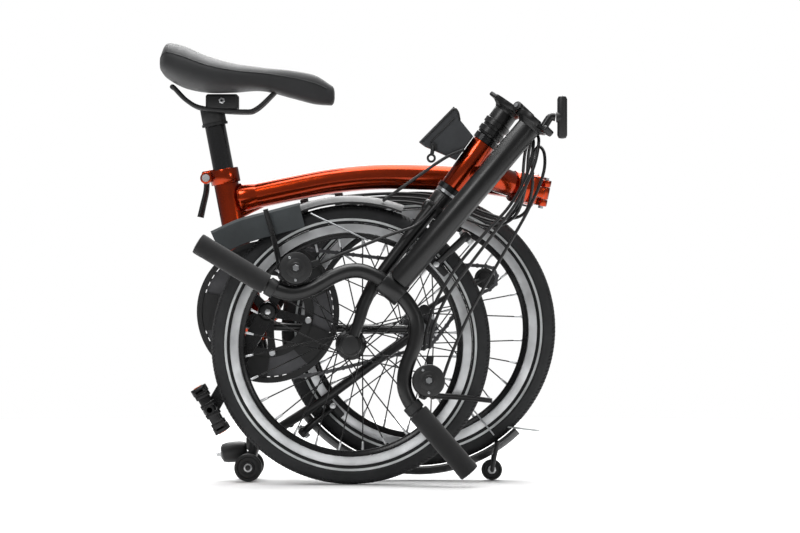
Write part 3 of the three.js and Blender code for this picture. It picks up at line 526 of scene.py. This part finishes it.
# ---------- carrier block on the head tube ----------
WEDGE = [(-69.2, 93), (-80.4, 19.6), (-69.4, 19.3), (-18.9, 30.5), (-18.9, 74), (-48.2, 82), (-61, 92)]
block = Shape(STEERER)
wedge_levels = [(-20, 0.94), (-18.6, 1), (18.6, 1), (20, 0.94)]
block.rings([[(-52 + (x + 52) * t, y, 56 + (z - 56) * t) for x, z in WEDGE] for y, t in wedge_levels])
block.finish("luggage_block", GREY, "front_section", "carrier_block", angle=30)
block_lip = Shape(STEERER)
for y in (-20.4, 20.4):
    lip_line = [(-77.4, y, 22), (-72.4, y, 55), (-67.4, y, 88), (-60, y, 90.4), (-50, y, 82)]
    block_lip.tube(lip_line, 1.6, sides=12)
    block_lip.rod((-66, y, 29), (-58, y, 80), 1.1, sides=12)
block_lip.finish("luggage_block_ribs", BLACK, "front_section")
release = Shape(STEERER @ Matrix.Translation((-59, -24.4, 27)))
release.rod((0, 0, 0), (0, 3.4, 0), 5)
release.tube([(0, 0, 0), (2, -1, -5), (5, -2, -11)], 3, sides=14)
release.turned([(3.6, -1.9), (7, -1.9), (7, 1.9), (3.6, 1.9)], (8, -2, -17), CROSS, 32, closed=True)
release.finish("luggage_release_ring", BLACK, "carrier_lever", "carrier_release")

# ---------- fork ----------
BLADE = [(-6, 31, -50), (-8, 33, -110), (-9, 36, -190), (-5, 39, -225), (4, 41.5, -252), (11, 43, -275)]
fork = Shape(STEERER)
fork.rod((0, 0, -60), (0, 0, 88), 14.3, sides=40)
fork.rod((0, 0, -62), (0, 0, -21), 20, 18.5, sides=40, soft=3)
fork.block((34, 78, 20), (-4, 0, -52), soft=8)
for line in (BLADE, mirrored(BLADE)):
    side = 1 if line[0][1] > 0 else -1
    fork.tube(line, 11.2, sides=28, steps=8, end_radius=7.8)
    hx, _, hz = FRONT_HUB_LOCAL
    fork.rod((hx, side * 37, hz), (hx, side * 43, hz), 17, sides=40, soft=1.4)
fork.finish("fork_blades", SATIN, "fork", "fork")

# ---------- steerer hinge and handlepost ----------
def on_pin(t):
    return POST_HINGE_PIN + pin_direction * t


def hinge_casting(shape, level, outward):
    """The round flange of the handlepost hinge, with its lug for the pin."""
    shape.turned([(18.5, -outward * 16), (21, -outward * 12), (26, -outward * 9), (27, -outward * 7.5),
                  (27, 0)], (0, 0, level), (0, 0, 1), 48)
    shape.block((26, 38, 10), (6.4, -6.4, level - outward * 5), (0, 0, 45), soft=2.5)


lower = Shape(STEERER)
lower.rod((0, 0, 87), (0, 0, 140), 18.5, sides=40)
hinge_casting(lower, 147.6, 1)
lower.rod(on_pin(-9.5), on_pin(9.5), 7.5)
lower.block((22, 30, 7), (-22, 8, 143.4), (0, 0, -20), soft=2.5)
for z in (90, 104):
    lower.turned([(18.6, 0), (20.6, 0.8), (20.6, 9), (18.6, 10)], (0, 0, z), (0, 0, 1), 48, closed=True)
lower.finish("steerer_casting", SATIN, "fork", "steerer_hinge")

mast = Shape(POST)
mast.rod((0, 0, 150), (0, 0, BAR_HEIGHT - 12), 18, sides=48)
hinge_casting(mast, 148.4, -1)
mast.block((34, 18, 10), (-24, 18, 153.4), (0, 0, -34), soft=2.5)
mast.tube([(-31.5, 21, 129.8), (-31.1, 15, 134.8), (-31, 17, 152.4)], 6)
mast.rod(on_pin(-20), on_pin(-10), 7.5)
mast.rod(on_pin(10), on_pin(20), 7.5)
mast.rod((0, -19, BAR_HEIGHT), (0, 19, BAR_HEIGHT), 18, sides=40, soft=2)
mast.block((16, 26, 24), (18, 0, BAR_HEIGHT), soft=3)
mast.finish("handlepost_mast", SATIN, "handlepost", "handlepost")
clamp_screws = Shape(POST)
for side in (-1, 1):
    clamp_screws.rod((20, side * 7, BAR_HEIGHT - 13), (20, side * 7, BAR_HEIGHT + 13), 3.2, sides=20)
clamp_screws.finish("bar_clamp_screws", STEEL, "handlepost")

lever = Shape(DESIGN @ Matrix.Translation((300, -190, 552)))
lever.rod((-5, 0, 0), (4, 0, 0), 8)
lever.turned([(2, -32), (5.6, -31), (7.5, -27), (7.5, 27), (5.6, 31), (2, 32)], (4, 0, 0), (0, 0, 1), 32)
lever.finish("handlepost_clamp_handle", BLACK, "post_clamp", "handlepost_clamp_lever")

frame_clamp = Shape(DESIGN @ Matrix.Translation((262, 36, 448)) @ Matrix.Rotation(math.radians(12), 4, "Y"))
frame_clamp.rod((0, -9, 0), (0, 26, 0), 4)
frame_clamp.block((14, 8, 46), (0, 4, 0), soft=2.5)
frame_clamp.tube([(0, 24, -26), (0, 25, 0), (0, 24, 26)], 6, sides=20)
frame_clamp.finish("frame_clamp_handle", BLACK, "hinge_clamp", "main_hinge_clamp_lever")

seat_lever = Shape(DESIGN @ Matrix.Translation((-237, 19, 465)))
seat_lever.rod((-9, 0, 0), (9, 0, 0), 5.5)
seat_lever_line = [(0, 0, 0), (-1, 3, -20), (-6, 5, -42), (-10, 5, -60)]
seat_lever.tube(seat_lever_line, 5, sides=18, end_radius=6, flatten=0.7)
seat_lever.finish("seat_lever_handle", BLACK, "seat_lever", "seat_clamp_lever")

# ---------- handlebar, grips and controls ----------
bar_left = [(0, across, up) for across, up in BAR_LINE]
bar = Shape(BARS)
bar.tube(mirrored(bar_left[1:])[::-1] + bar_left, 11.1, sides=28, steps=5)
bar.finish("handlebar_tube", SATIN, "handlepost", "handlebar")


def bar_point(across, side):
    (x0, z0), (x1, z1) = BAR_LINE[-3], BAR_LINE[-1]
    return Vector((0, side * across, z0 + (across - x0) / (x1 - x0) * (z1 - z0)))


for name, side in (("right", -1), ("left", 1)):
    start, end = bar_point(148, side), bar_point(268, side)
    axis = end - start
    sleeve = [
        (11.5, 0), (14.8, 0), (15.7, 1.4), (15.9, 4), (15.9, 104), (16.2, 105), (16.2, 117),
        (15.2, 119.4), (8, 120.6),
    ]
    grip = Shape(BARS)
    grip.turned(sleeve, start, axis, 48)
    grip.finish(f"{name}_grip_foam", GRIP, "handlepost", f"{name}_grip")
    pod = Shape(BARS)
    y = side * 130
    pod.turned([(20, -13), (23.5, -11.5), (24.5, -8), (24.5, 7), (22.5, 10)], (0, y, 71), (1, 0, 0), 64)
    pod.turned([(13.5, -14.2), (14.5, -13.6), (14.5, -12)], (0, y, 71), (1, 0, 0), 48)
    pod.turned([(7.6, -17.4), (8.4, -16.6), (8.4, -12)], (0, y, 71), (1, 0, 0), 32)
    pod.turned([(2, -4), (3.6, -3), (3.6, 9)], (0, y + side * 6, 90), (0, side * 0.2, 1), 20)
    pod.block((16, 20, 26), (4, side * 134, 82), soft=3)
    pod.block((30, 14, 12), (22, side * 138, 90), soft=3)
    pod.turned([(12.6, -1), (14.2, 0), (14.2, 12), (12.6, 13)], bar_point(133, side), axis, 40, closed=True)
    pod.finish(f"{name}_shifter_pod", BLACK, "handlepost", f"{name}_shifter")
    blade = Shape(BARS)
    reach = [(33, side * 150, 82), (37, side * 164, 71), (38, side * 190, 52), (34, side * 223, 30)]
    blade.tube(reach, 5, sides=20, steps=8, end_radius=4.2, flatten=0.75)
    blade.rod((28, side * 150, 82), (38, side * 150, 82), 5.5)
    blade.finish(f"{name}_brake_blade", ANODISED, f"{name}_brake", f"{name}_brake_lever")
    edge = Shape(BARS)
    edge.tube([(p[0] + 3.2, p[1], p[2] + 2.6) for p in reach], 1.2, sides=10, steps=8)
    edge.finish(f"{name}_brake_blade_edge", SILVER, f"{name}_brake")
    trigger = Shape(BARS)
    trigger.turned([(8.4, 13), (10, 14), (10, 16.4), (8.4, 17)], (0, y, 71), (1, 0, 0), 40)
    trigger.block((4, 10, 34), (15, side * 118, 54), (side * -32, 0, 0), soft=1.4)
    trigger.finish(f"{name}_trigger_blade", BLACK, f"{name}_trigger", f"{name}_shift_trigger")
    cap = Shape(BARS)
    cap.turned([(4.4, -18.4), (5, -17.8), (5, -16.8)], (0, y, 71), (1, 0, 0), 6)
    for degrees in (50, 200):
        spot = (0, y + 18 * math.cos(math.radians(degrees)), 71 + 18 * math.sin(math.radians(degrees)))
        cap.turned([(1.4, -14), (2, -13.6), (2, -12)], spot, (1, 0, 0), 20)
    cap.finish(f"{name}_shifter_bolt", STEEL, "handlepost")

# ---------- brakes ----------
def calliper(name, place, body, node):
    """A dual-pivot calliper over the tyre, in the wheel's plane with X pointing outwards."""
    shape = Shape(place)
    shape.block((13, 62, 15), (238, 0, 0), soft=4)
    for side in (-1, 1):
        shape.tube([(238, side * 22, 0), (236, side * 29, 0), (222, side * 30.5, 0), (198, side * 29.5, 0),
                    (176, side * 28.5, 0)], 6.2, sides=18, steps=6, flatten=0.6)
    shape.finish(f"{name}_arms", ANODISED, body, node)
    pads = Shape(place)
    for side in (-1, 1):
        pads.block((10, 11, 44), (177, side * 19, 0), soft=2)
    pads.finish(f"{name}_pads", BLACK, body)
    bolts = Shape(place)
    bolts.rod((238, 0, -11), (238, 0, 11), 4.6)
    for side in (-1, 1):
        bolts.rod((177, side * 24, 0), (177, side * 33.5, 0), 4.6, sides=24)
    bolts.rod((246, 14, 0), (228, 14, 0), 3)
    bolts.finish(f"{name}_bolts", SILVER, body)


def turned_to(place, hub, degrees):
    """The frame of a wheel, turned so that X points out at that angle."""
    return place @ Matrix.Translation(hub) @ Matrix.Rotation(math.radians(-degrees), 4, "Y")


calliper("front_brake", turned_to(STEERER, FRONT_HUB_LOCAL, 79), "fork", "front_brake")
calliper("rear_brake", turned_to(DESIGN, REAR_HUB, 222), "rear_frame", "rear_brake")


# ---------- mudguards ----------
def mudguard(name, place, hub, start, end, body, node):
    """A thin crowned band round the tyre, with a rolled edge."""
    shape = Shape(place)
    half = 24
    across = [k / 8 for k in range(-8, 9)]
    count = 64
    rings = []
    for i in range(count + 1):
        degrees = start + (end - start) * i / count
        outer = [around(hub, 225.2 - 9 * t * t, degrees, t * half) for t in across]
        inner = [around(hub, 222.8 - 9 * t * t, degrees, t * half) for t in reversed(across)]
        rings.append(outer + inner)
    shape.rings(rings)
    for side in (-1, 1):
        edge = [around(hub, 214.9, start + (end - start) * i / 24, side * half) for i in range(25)]
        shape.tube(edge, 1.5, sides=10, steps=2)
    shape.finish(name, BLACK, body, node)


LEAN = math.degrees(HEAD_LEAN)
mudguard("front_mudguard_band", STEERER, FRONT_HUB_LOCAL, 69 + LEAN, 112 + LEAN, "fork", "front_mudguard")
mudguard("rear_mudguard_band", DESIGN, REAR_HUB, 218, 314, "rear_frame", "rear_mudguard")

# the rubber flap: a channel with rounded shoulders, along radii and degrees round the front hub
FLAP_LINE = [(228, 110), (231, 115), (238, 122), (255, 132), (272, 141)]
FLAP_SECTION = [
    (-26, -38), (-26, -4), (-23, -0.6), (-14, 0), (14, 0), (23, -0.6), (26, -4), (26, -38),
    (23.8, -38), (23.8, -5), (21.6, -2.9), (14, -2.4), (-14, -2.4), (-21.6, -2.9), (-23.8, -5),
    (-23.8, -38),
]
flap = Shape(STEERER)
flap_line = smooth_line([around(FRONT_HUB_LOCAL, r, d + LEAN) for r, d in FLAP_LINE], 8)
flap_rings = []
for i, centre in enumerate(flap_line):
    ahead = (flap_line[min(i + 1, len(flap_line) - 1)] - flap_line[max(i - 1, 0)]).normalized()
    out = ahead.cross(CROSS)
    if out.dot(centre - FRONT_HUB_LOCAL) < 0:
        out = -out
    flap_rings.append([centre + CROSS * across + out * lift for across, lift in FLAP_SECTION])
flap.rings(flap_rings)
flap.finish("front_flap", FLAP, "fork", "front_mudguard_flap")

stay = Shape()
stay.rod((203, -27, 16), (203, 27, 16), 3)
for side in (-1, 1):
    stay.tube([(203, side * 27, 16), (206, side * 27, 34), (212, side * 26, 60)], 3.4, sides=14)
stay.finish("mudguard_wire_stay", BLACK, "rear_frame", "mudguard_stay")
for name, start, end, body in (
    ("front_mudguard_wire", (-73, -147, 409), (14, -163, 368), "fork"),
    ("rear_mudguard_wire", (175, -25, 108), (206, -26, 70), "rear_frame"),
):
    wire = Shape()
    wire.rod(start, end, 1.2, sides=12)
    wire.finish(name, STEEL, body)
blade_outline = [(-25, -15), (20, -18), (25, -10), (25, 10), (20, 18), (-25, 15)]
mudguard_blade = Shape()
mudguard_blade.plate(blade_outline, 2.2, (252, 0, 79), (1, 0, -0.12), CROSS)
mudguard_blade.finish("rear_mudguard_blade", STRIPE, "rear_frame")

# ---------- rear frame ----------
rear = Shape()
chainstay = [(-205, 36, 245), (-150, 38.5, 238), (-60, 39, 235), (0, 46, 234), (74, 60, 233.5)]
seatstay = [(80, 61, 223.5), (24, 58, 183), (-56, 43, 124), (-118, 32, 84), (-160, 18, 60)]
rear.rod((-106, -36, 87), (-106, 36, 87), 5)
rear.block((24, 44, 24), (-163, 0, 58), soft=5)
rear.rod((-170.7, -58, 21.3), (-170.7, 58, 21.3), 4.5)
for side in (1, -1):
    for line, radius in ((chainstay, 6.2), (seatstay, 6.8)):
        rear.tube([(x, side * y, z) for x, y, z in line], radius, sides=24, steps=8)
    rear.rod((-205, side * 31.5, 245), (-205, side * 40, 245), 12)
    rear.rod((90, side * 56, 233.5), (90, side * 62, 233.5), 18, sides=40, soft=1.4)
    rear.rod((-160, side * 20, 60), (-170.7, side * 24, 21.3), 7.5, sides=28)
rear.finish("rear_triangle", SATIN, "rear_frame", "rear_frame")

suspension = Shape()
axis = Vector((-39.5, 0, -5)).normalized()
base = Vector((-174.5, 0, 46))
elastomer = [(12, 0), (14, 3), (15.4, 10), (16.2, 20), (15.6, 30), (13.6, 37), (9, 39.5)]
suspension.turned(elastomer, base, axis, 48)
suspension.finish("suspension_elastomer", BLACK, "rear_frame", "suspension_block")
suspension_bolt = Shape()
suspension_bolt.turned([(9, 38.8), (9, 41), (5, 41.4), (5, 46.6), (3.8, 47.6)], base, axis, 6)
suspension_bolt.finish("suspension_bolt", SILVER, "rear_frame", angle=25)


def roller(name, centre, half, radius, body, node):
    """A small wheel with a soft tread, ring ribs on its face and a bolt."""
    shape = Shape()
    profile = [
        (5.2, -half), (radius * 0.42, -half), (radius * 0.5, -half + 1.6), (radius * 0.72, -half + 1.6),
        (radius * 0.8, -half), (radius - 1.4, -half), (radius, -half + 1.6),
    ]
    shape.turned(profile + [(r, -y) for r, y in reversed(profile)], centre, CROSS, 64, closed=True)
    shape.finish(f"{name}_wheel", BLACK, body, node)
    bolt = Shape()
    for side in (-1, 1):
        bolt.turned([(6.4, 0), (6.4, 2.6), (5, 3.6), (2.5, 3.6)], centre + CROSS * side * (half + 0.2),
                    CROSS * side, 24)
    bolt.finish(f"{name}_bolts", SILVER, "rear_frame")


roller("right_roller", ROLLER_AXLE - CROSS * 45, 9, 21.3, "roller_right", "right_roller")
roller("left_roller", ROLLER_AXLE + CROSS * 45, 9, 21.3, "roller_left", "left_roller")
roller("mudguard_roller", SMALL_ROLLER, 8, 16, "roller_mudguard", "mudguard_roller")


# ---------- drive ----------
def crank_point(radius, degrees, y):
    return around(BOTTOM_BRACKET, radius, degrees, y)


crankset = Shape()
crankset.rod(crank_point(0, 0, -71), crank_point(0, 0, 72), 7.5)
crankset.rod(crank_point(0, 0, -71), crank_point(0, 0, -50.5), 15, 16, sides=40, soft=1.5)
arm_across = around(Vector(), 1, CRANK_ANGLE + 90)
arm_along = around(Vector(), 1, CRANK_ANGLE)
arm_outline = [(-13, -6), (-11.5, 60), (-10.5, 120), (-11, 168), (-8, 178), (0, 182), (8, 178), (11, 168),
               (10.5, 120), (11.5, 60), (13, -6), (8, -13), (0, -15), (-8, -13)]
crankset.plate(arm_outline, 12, crank_point(0, 0, -65), arm_across, arm_along, soft=2.5)
spider_arm = [(-8, 8), (-5.5, 40), (-6.5, 64), (-4, 69), (4, 69), (6.5, 64), (5.5, 40), (8, 8)]
for i in range(5):
    degrees = CRANK_ANGLE + 36 + 72 * i
    crankset.plate(spider_arm, 5, crank_point(0, 0, -58), around(Vector(), 1, degrees + 90),
                   around(Vector(), 1, degrees), soft=1)
crankset.finish("right_crank_spider", ANODISED, "cranks", "right_crank")

crank_bolts = Shape()
for i in range(5):
    spot = crank_point(63, CRANK_ANGLE + 36 + 72 * i, -60)
    crank_bolts.turned([(5, 0), (5, 1.6), (4.2, 2.4), (2.2, 2.4), (2.2, 1.2)], spot, -CROSS, 32)
crank_bolts.turned([(4.6, 0), (4.6, 0.8), (3.4, 1.2)], crank_point(0, 0, -73), -CROSS, 6)
crank_bolts.finish("chainring_bolts", SILVER, "cranks")
crank_cap = Shape()
cap_profile = [(11.5, 0), (11.5, 1.4), (9, 2.2), (5.6, 2.2), (5.6, 1.2)]
crank_cap.turned(cap_profile, crank_point(0, 0, -71), -CROSS, 40)
crank_cap.finish("crank_dust_cap", BLACK, "cranks")

left_angle = CRANK_ANGLE - 180
left_arm = Shape()
left_across = around(Vector(), 1, left_angle + 90)
left_along = around(Vector(), 1, left_angle)
left_arm.plate(arm_outline, 12, crank_point(0, 0, 66), left_across, left_along, soft=2.5)
left_arm.rod(crank_point(0, 0, 60), crank_point(0, 0, 74), 15, sides=40)
left_arm.rod(crank_point(CRANK_LENGTH, left_angle, 60), crank_point(CRANK_LENGTH, left_angle, 80), 9)
left_arm.block((9, 20, 12), crank_point(CRANK_LENGTH, left_angle, 88), soft=2)
left_arm.finish("left_crank_arm", ANODISED, "cranks", "left_crank")

TEETH = 50
TOOTH = [(98, -2.2), (103, -0.8), (103, 0.8), (98, 2.2)]  # radius, degrees from the tooth's middle
ring_centre = crank_point(0, 0, CHAIN_LINE)
ring = Shape()
ring.turned([(62, -1.1), (99, -1.1), (99, 1.1), (62, 1.1)], ring_centre, CROSS, 132, closed=True)
for k in range(TEETH):
    degrees = 360 / TEETH * k
    tooth = [crank_point(r, degrees + d, CHAIN_LINE - 0.9) for r, d in TOOTH]
    ring.rings([tooth, [p + CROSS * 1.8 for p in tooth]])
ring.finish("chainring_teeth", DARK_STEEL, "cranks", "chainring")

guard = Shape()
guard_centre = crank_point(0, 0, -53.8)
guard_rim = [(100, -1.2), (108.4, -1.2), (109, 0), (108.4, 1.2), (100, 1.2)]
guard_middle = [(56, -1.2), (70, -1.2), (70, 1.2), (56, 1.2)]
guard.turned(guard_rim, guard_centre, CROSS, 144, closed=True)
guard.turned(guard_middle, guard_centre, CROSS, 96, closed=True)
for i in range(5):
    middle = 72 * i + 36
    outline = []
    for r in (69, 101):
        spread = 20 if r == 69 else 17
        arc = [middle - spread + 2 * spread * k / 8 for k in range(9)]
        points = [(r, d) for d in arc]
        outline += points if r == 69 else points[::-1]
    front_face = [crank_point(r, d, -55.0) for r, d in outline]
    guard.rings([front_face, [p + CROSS * 2.4 for p in front_face]])
guard.finish("chain_guard_disc", BLACK, "cranks", "chain_guard")


def pedal(name, place, body, node, parts):
    shape = Shape(place)
    parts(shape)
    shape.finish(name, ANODISED, body, node)


PEDAL_TILT = 120
right_place = (
    DESIGN @ Matrix.Translation(crank_point(CRANK_LENGTH, CRANK_ANGLE, 0))
    @ Matrix.Rotation(math.radians(-PEDAL_TILT), 4, "Y")
)


def right_cage(shape):
    shape.rod((0, -61, 0), (0, -148, 0), 5)
    shape.turned([(8, 0), (10, 3), (9, 12), (8, 40), (9, 62), (10, 70), (7, 74)], (0, -74, 0), -CROSS, 32)
    for x in (-33, 33):
        shape.block((9, 70, 20), (x, -112, 0), soft=2)
        for k in range(7):
            shape.block((11, 4, 22), (x, -142 + 10 * k, 0), soft=1)
    for y in (-80, -144):
        shape.block((70, 6, 16), (0, y, 0), soft=2)
        for x in (-24, -8, 8, 24):
            shape.block((7, 6.4, 20), (x, y, 0), soft=1.2)


def left_cage(shape):
    shape.rod((-20, 92, 0), (20, 92, 0), 2.5)
    shape.block((66, 8, 12), (-6, 92, 40), soft=2)
    for x in (-33, 21):
        shape.block((12, 8, 50), (x, 92, 18), soft=2)
        for k in range(4):
            shape.block((13, 9, 3), (x, 92, 4 + 10 * k), soft=0.8)
    shape.block((30.8, 8, 14), (-20.6, 92, 0), soft=2)
    shape.block((18.8, 8, 14), (14.6, 92, 0), soft=2)


pedal("right_pedal_cage", right_place, "pedal_right", "right_pedal", right_cage)
left_place = DESIGN @ Matrix.Translation(crank_point(CRANK_LENGTH, left_angle, 0))
pedal("left_pedal_cage", left_place, "pedal_left", "left_pedal", left_cage)
reflectors = Shape(right_place)
for x in (-38.2, 38.2):
    reflectors.block((2.4, 44, 12), (x, -112, 0), soft=0.8)
reflectors.finish("right_pedal_reflectors", REFLECTOR, "pedal_right")

tensioner = Shape()
tensioner.rod((98.6, -65.5, 262), (98.6, -55, 262), 9)
tensioner.tube([(98.6, -53.5, 262), (145, -53.5, 290), (191, -53.5, 311)], 4.2, sides=20, flatten=0.8)
tensioner.rod((191, -56.5, 311), (191, -50.5, 311), 9)
tensioner.rod((191, -53.5, 311), (191, -44.5, 311), 3)
tensioner.finish("tensioner_arm", BLACK, "tensioner", "chain_tensioner")
jockey_profile = [
    (5, -3.6), (14.4, -3.6), (15.6, -2.4), (15.6, -1), (13.8, 0), (15.6, 1), (15.6, 2.4),
    (14.4, 3.6), (5, 3.6),
]
jockey = Shape()
jockey.turned(jockey_profile, JOCKEY + CROSS * CHAIN_LINE, CROSS, 44, closed=True)
jockey.finish("jockey_wheel", BLACK, "tensioner")


# ---------- chain: plates and rollers at an even pitch along the run ----------
def arc_points(centre, radius, start, end, count):
    return [around(centre, radius, start + (end - start) * i / count, CHAIN_LINE) for i in range(count + 1)]


def chain_run():
    on_ring = 103.6
    return [
        *arc_points(BOTTOM_BRACKET, on_ring, 207, 90, 9),
        (-60, CHAIN_LINE, 353), (60, CHAIN_LINE, 339), (150, CHAIN_LINE, 332),
        *arc_points(JOCKEY, 19, 70, -75, 4),
        (160, CHAIN_LINE, 276), (134, CHAIN_LINE, 240),
        *arc_points(REAR_HUB, 31, -30, -95, 3),
        (30, CHAIN_LINE, 188), (-60, CHAIN_LINE, 166),
        *arc_points(BOTTOM_BRACKET, on_ring, 278, 214, 5),
    ]


def even_points(line, pitch):
    """Points at an even pitch along a line."""
    points, needed = [line[0]], pitch
    for a, b in zip(line, line[1:]):
        length = (b - a).length
        while needed <= length:
            points.append(a.lerp(b, needed / length))
            needed += pitch
        needed -= length
    return points


chain = Shape()
pins = even_points(smooth_line(chain_run(), 12), CHAIN_PITCH)
for i, (a, b) in enumerate(zip(pins, pins[1:])):
    along = (b - a).normalized()
    across = CROSS.cross(along)
    half = CHAIN_PITCH / 2
    outline = []
    for k in range(16):
        t = 2 * math.pi * k / 16
        waist = 3.6 if abs(math.cos(t)) > 0.5 else 2.7
        outline.append((math.cos(t) * (half + 3.4), math.sin(t) * waist))
    offset = 3.2 if i % 2 else 2.0
    for side in (-1, 1):
        chain.plate(outline, 1.0, a.lerp(b, 0.5) + CROSS * side * offset, along, across, soft=0.2)
    chain.rod(a - CROSS * 3.6, a + CROSS * 3.6, 1.9, sides=10, soft=0.2)
    chain.rod(a - CROSS * 1.6, a + CROSS * 1.6, 3.6, sides=14, soft=0.3)
chain_piece = chain.finish("drive_chain", DARK_STEEL, None, "chain")
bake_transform(chain_piece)

# ---------- seat ----------
post = Shape()
post.rod(on_seat_axis(200), on_seat_axis(567), 15.9, sides=64, soft=1.0)
post.finish("seatpost_tube", GLOSS, "seat", "seatpost")

STATIONS = [  # along the saddle: x, half width, lowest z, top z
    (-306, 46, 630, 652), (-296, 62, 618, 672), (-270, 73, 604, 668), (-235, 72, 597, 653),
    (-195, 58, 597, 642), (-150, 36, 599, 636), (-105, 24, 588, 632), (-70, 20, 579, 624),
    (-44, 14, 577, 608),
]
SADDLE_STEPS = 70


def saddle_section(t):
    """X, half width, lowest z and top z, at a share t of the way along the stations."""
    place = t * (len(STATIONS) - 1)
    i = min(int(place), len(STATIONS) - 2)
    share = place - i
    a = STATIONS[max(i - 1, 0)]
    b, c = STATIONS[i], STATIONS[i + 1]
    d = STATIONS[min(i + 2, len(STATIONS) - 1)]
    return [
        0.5 * (2 * q + (r - p) * share + (2 * p - 5 * q + 4 * r - s) * share ** 2
               + (3 * q - p - 3 * r + s) * share ** 3)
        for p, q, r, s in zip(a, b, c, d)
    ]


def saddle_ring(t):
    x, half, low, top = saddle_section(t)
    ring = []
    count = 56
    for k in range(count):
        a = 2 * math.pi * k / count
        c, s = math.cos(a), math.sin(a)
        y = half * math.copysign(abs(c) ** 0.8, c)
        z = (top + low) / 2 + (top - low) / 2 * math.copysign(abs(s) ** 0.8, s)
        if s > 0:
            z -= 4.5 * math.exp(-(y / 9) ** 2) * math.sin(math.pi * min(t * 1.15, 1))
        ring.append(Vector((x, y, z)))
    return ring


cover = Shape()
rows = [saddle_ring(k / SADDLE_STEPS) for k in range(SADDLE_STEPS + 1)]
last = rows[-1]
for shrink, push in ((0.9, 2.2), (0.7, 4.0), (0.35, 5.0)):
    centre = sum(last, Vector()) / len(last)
    rows.append([centre + (p - centre) * shrink + Vector((push, 0, 0)) for p in last])
cover.rings(rows)
saddle = cover.finish("saddle_cover", VINYL, "seat", "saddle", angle=60)

seams = Shape()
for point_of_ring in (25, 3):  # the piping runs along these two points of the saddle's rings
    line = [saddle_ring(k / SADDLE_STEPS)[point_of_ring] for k in range(2, SADDLE_STEPS - 2)]
    seams.tube(line, 1.1, sides=8, steps=1)
seams.finish("saddle_piping", VINYL, "seat")

RAIL = [
    (-288, 20, 606), (-266, 21, 584), (-240, 21.5, 572), (-180, 21.5, 567), (-158, 18, 572),
    (-128, 10, 600),
]
rails = Shape()
for line in (RAIL, mirrored(RAIL)):
    rails.tube(line, 3.5, sides=18, steps=8)
rails.rod((-288, -22, 605), (-288, 22, 605), 4)
rails.rod((-129, -12, 599), (-129, 12, 599), 4)
rails.block((50, 48, 24), (-212, 0, 582), soft=4)
rails.rod(on_seat_axis(549), on_seat_axis(574), 18.5, sides=48, soft=2)
seat_axis = on_seat_axis(550) - on_seat_axis(546)
rails.turned([(16, 0), (20, 0), (20, 4), (16, 4)], on_seat_axis(546), seat_axis, 48, closed=True)
rails.finish("saddle_clamp_and_rails", BLACK, "seat", "saddle_rails")
saddle_bolt = Shape()
saddle_bolt.rod((-212, -28, 584), (-212, 28, 584), 3)
for side in (-1, 1):
    saddle_bolt.turned([(5, 0), (5, 2.5), (3.6, 3.6)], (-212, side * 24.4, 584), CROSS * side, 6)
saddle_bolt.finish("saddle_clamp_bolt", SILVER, "seat", angle=25)

# ---------- CAD pieces that keep their shape ----------
KEPT = {
    "rear_pivot_bolt": STEEL, "main_hinge_pin": STEEL, "seat_clamp_bolt": SILVER, "headset_bearing": STEEL,
    "upper_headset_cup": ANODISED, "lower_headset_cup": ANODISED, "handlepost_hinge_pin": STEEL,
}
for node, material in KEPT.items():
    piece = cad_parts[node]
    piece.data.materials.clear()
    piece.data.materials.append(material)
    shade(piece, 38)

# ---------- floor, surround and light ----------
floor_material = surface("pale_floor", (0.93, 0.93, 0.93), 0.85, grain=300, relief=0.01, variation=0.01)
bpy.ops.mesh.primitive_circle_add(vertices=128, radius=2.6, fill_type="NGON", location=(0, 0, -0.0005))
floor = bpy.context.object
floor.name = "floor"
floor.data.materials.append(floor_material)

# the camera sees a white surround, and the bicycle is lit by a dimmer one, so that its blacks stay deep
world = bpy.data.worlds.new("studio")
bpy.context.scene.world = world
world.use_nodes = True
sky = world.node_tree.nodes["Background"]
sky.inputs["Color"].default_value = (1, 1, 1, 1)
seen = world.node_tree.nodes.new("ShaderNodeLightPath")
level = world.node_tree.nodes.new("ShaderNodeMapRange")
level.inputs["To Min"].default_value = 0.25
level.inputs["To Max"].default_value = 1.0
world.node_tree.links.new(seen.outputs["Is Camera Ray"], level.inputs["Value"])
world.node_tree.links.new(level.outputs["Result"], sky.inputs["Strength"])
bpy.context.scene.view_settings.view_transform = "Standard"


def area_light(name, location, target, size, power):
    data = bpy.data.lights.new(name, "AREA")
    data.size = size
    data.energy = power
    light = bpy.data.objects.new(name, data)
    light.location = location
    light.rotation_euler = (Vector(target) - Vector(location)).to_track_quat("-Z", "Y").to_euler()
    bpy.context.scene.collection.objects.link(light)


area_light("key", (-1.4, -2.2, 2.6), (0, 0, 0.3), 1.0, 30)
area_light("fill", (2.6, -2.4, 1.2), (0, 0, 0.3), 0.6, 8)
area_light("top", (0, 0.2, 3.0), (0, 0, 0.3), 2.4, 110)
area_light("rear", (0, 2.4, 2.4), (0, 0.6, 0), 2.0, 90)
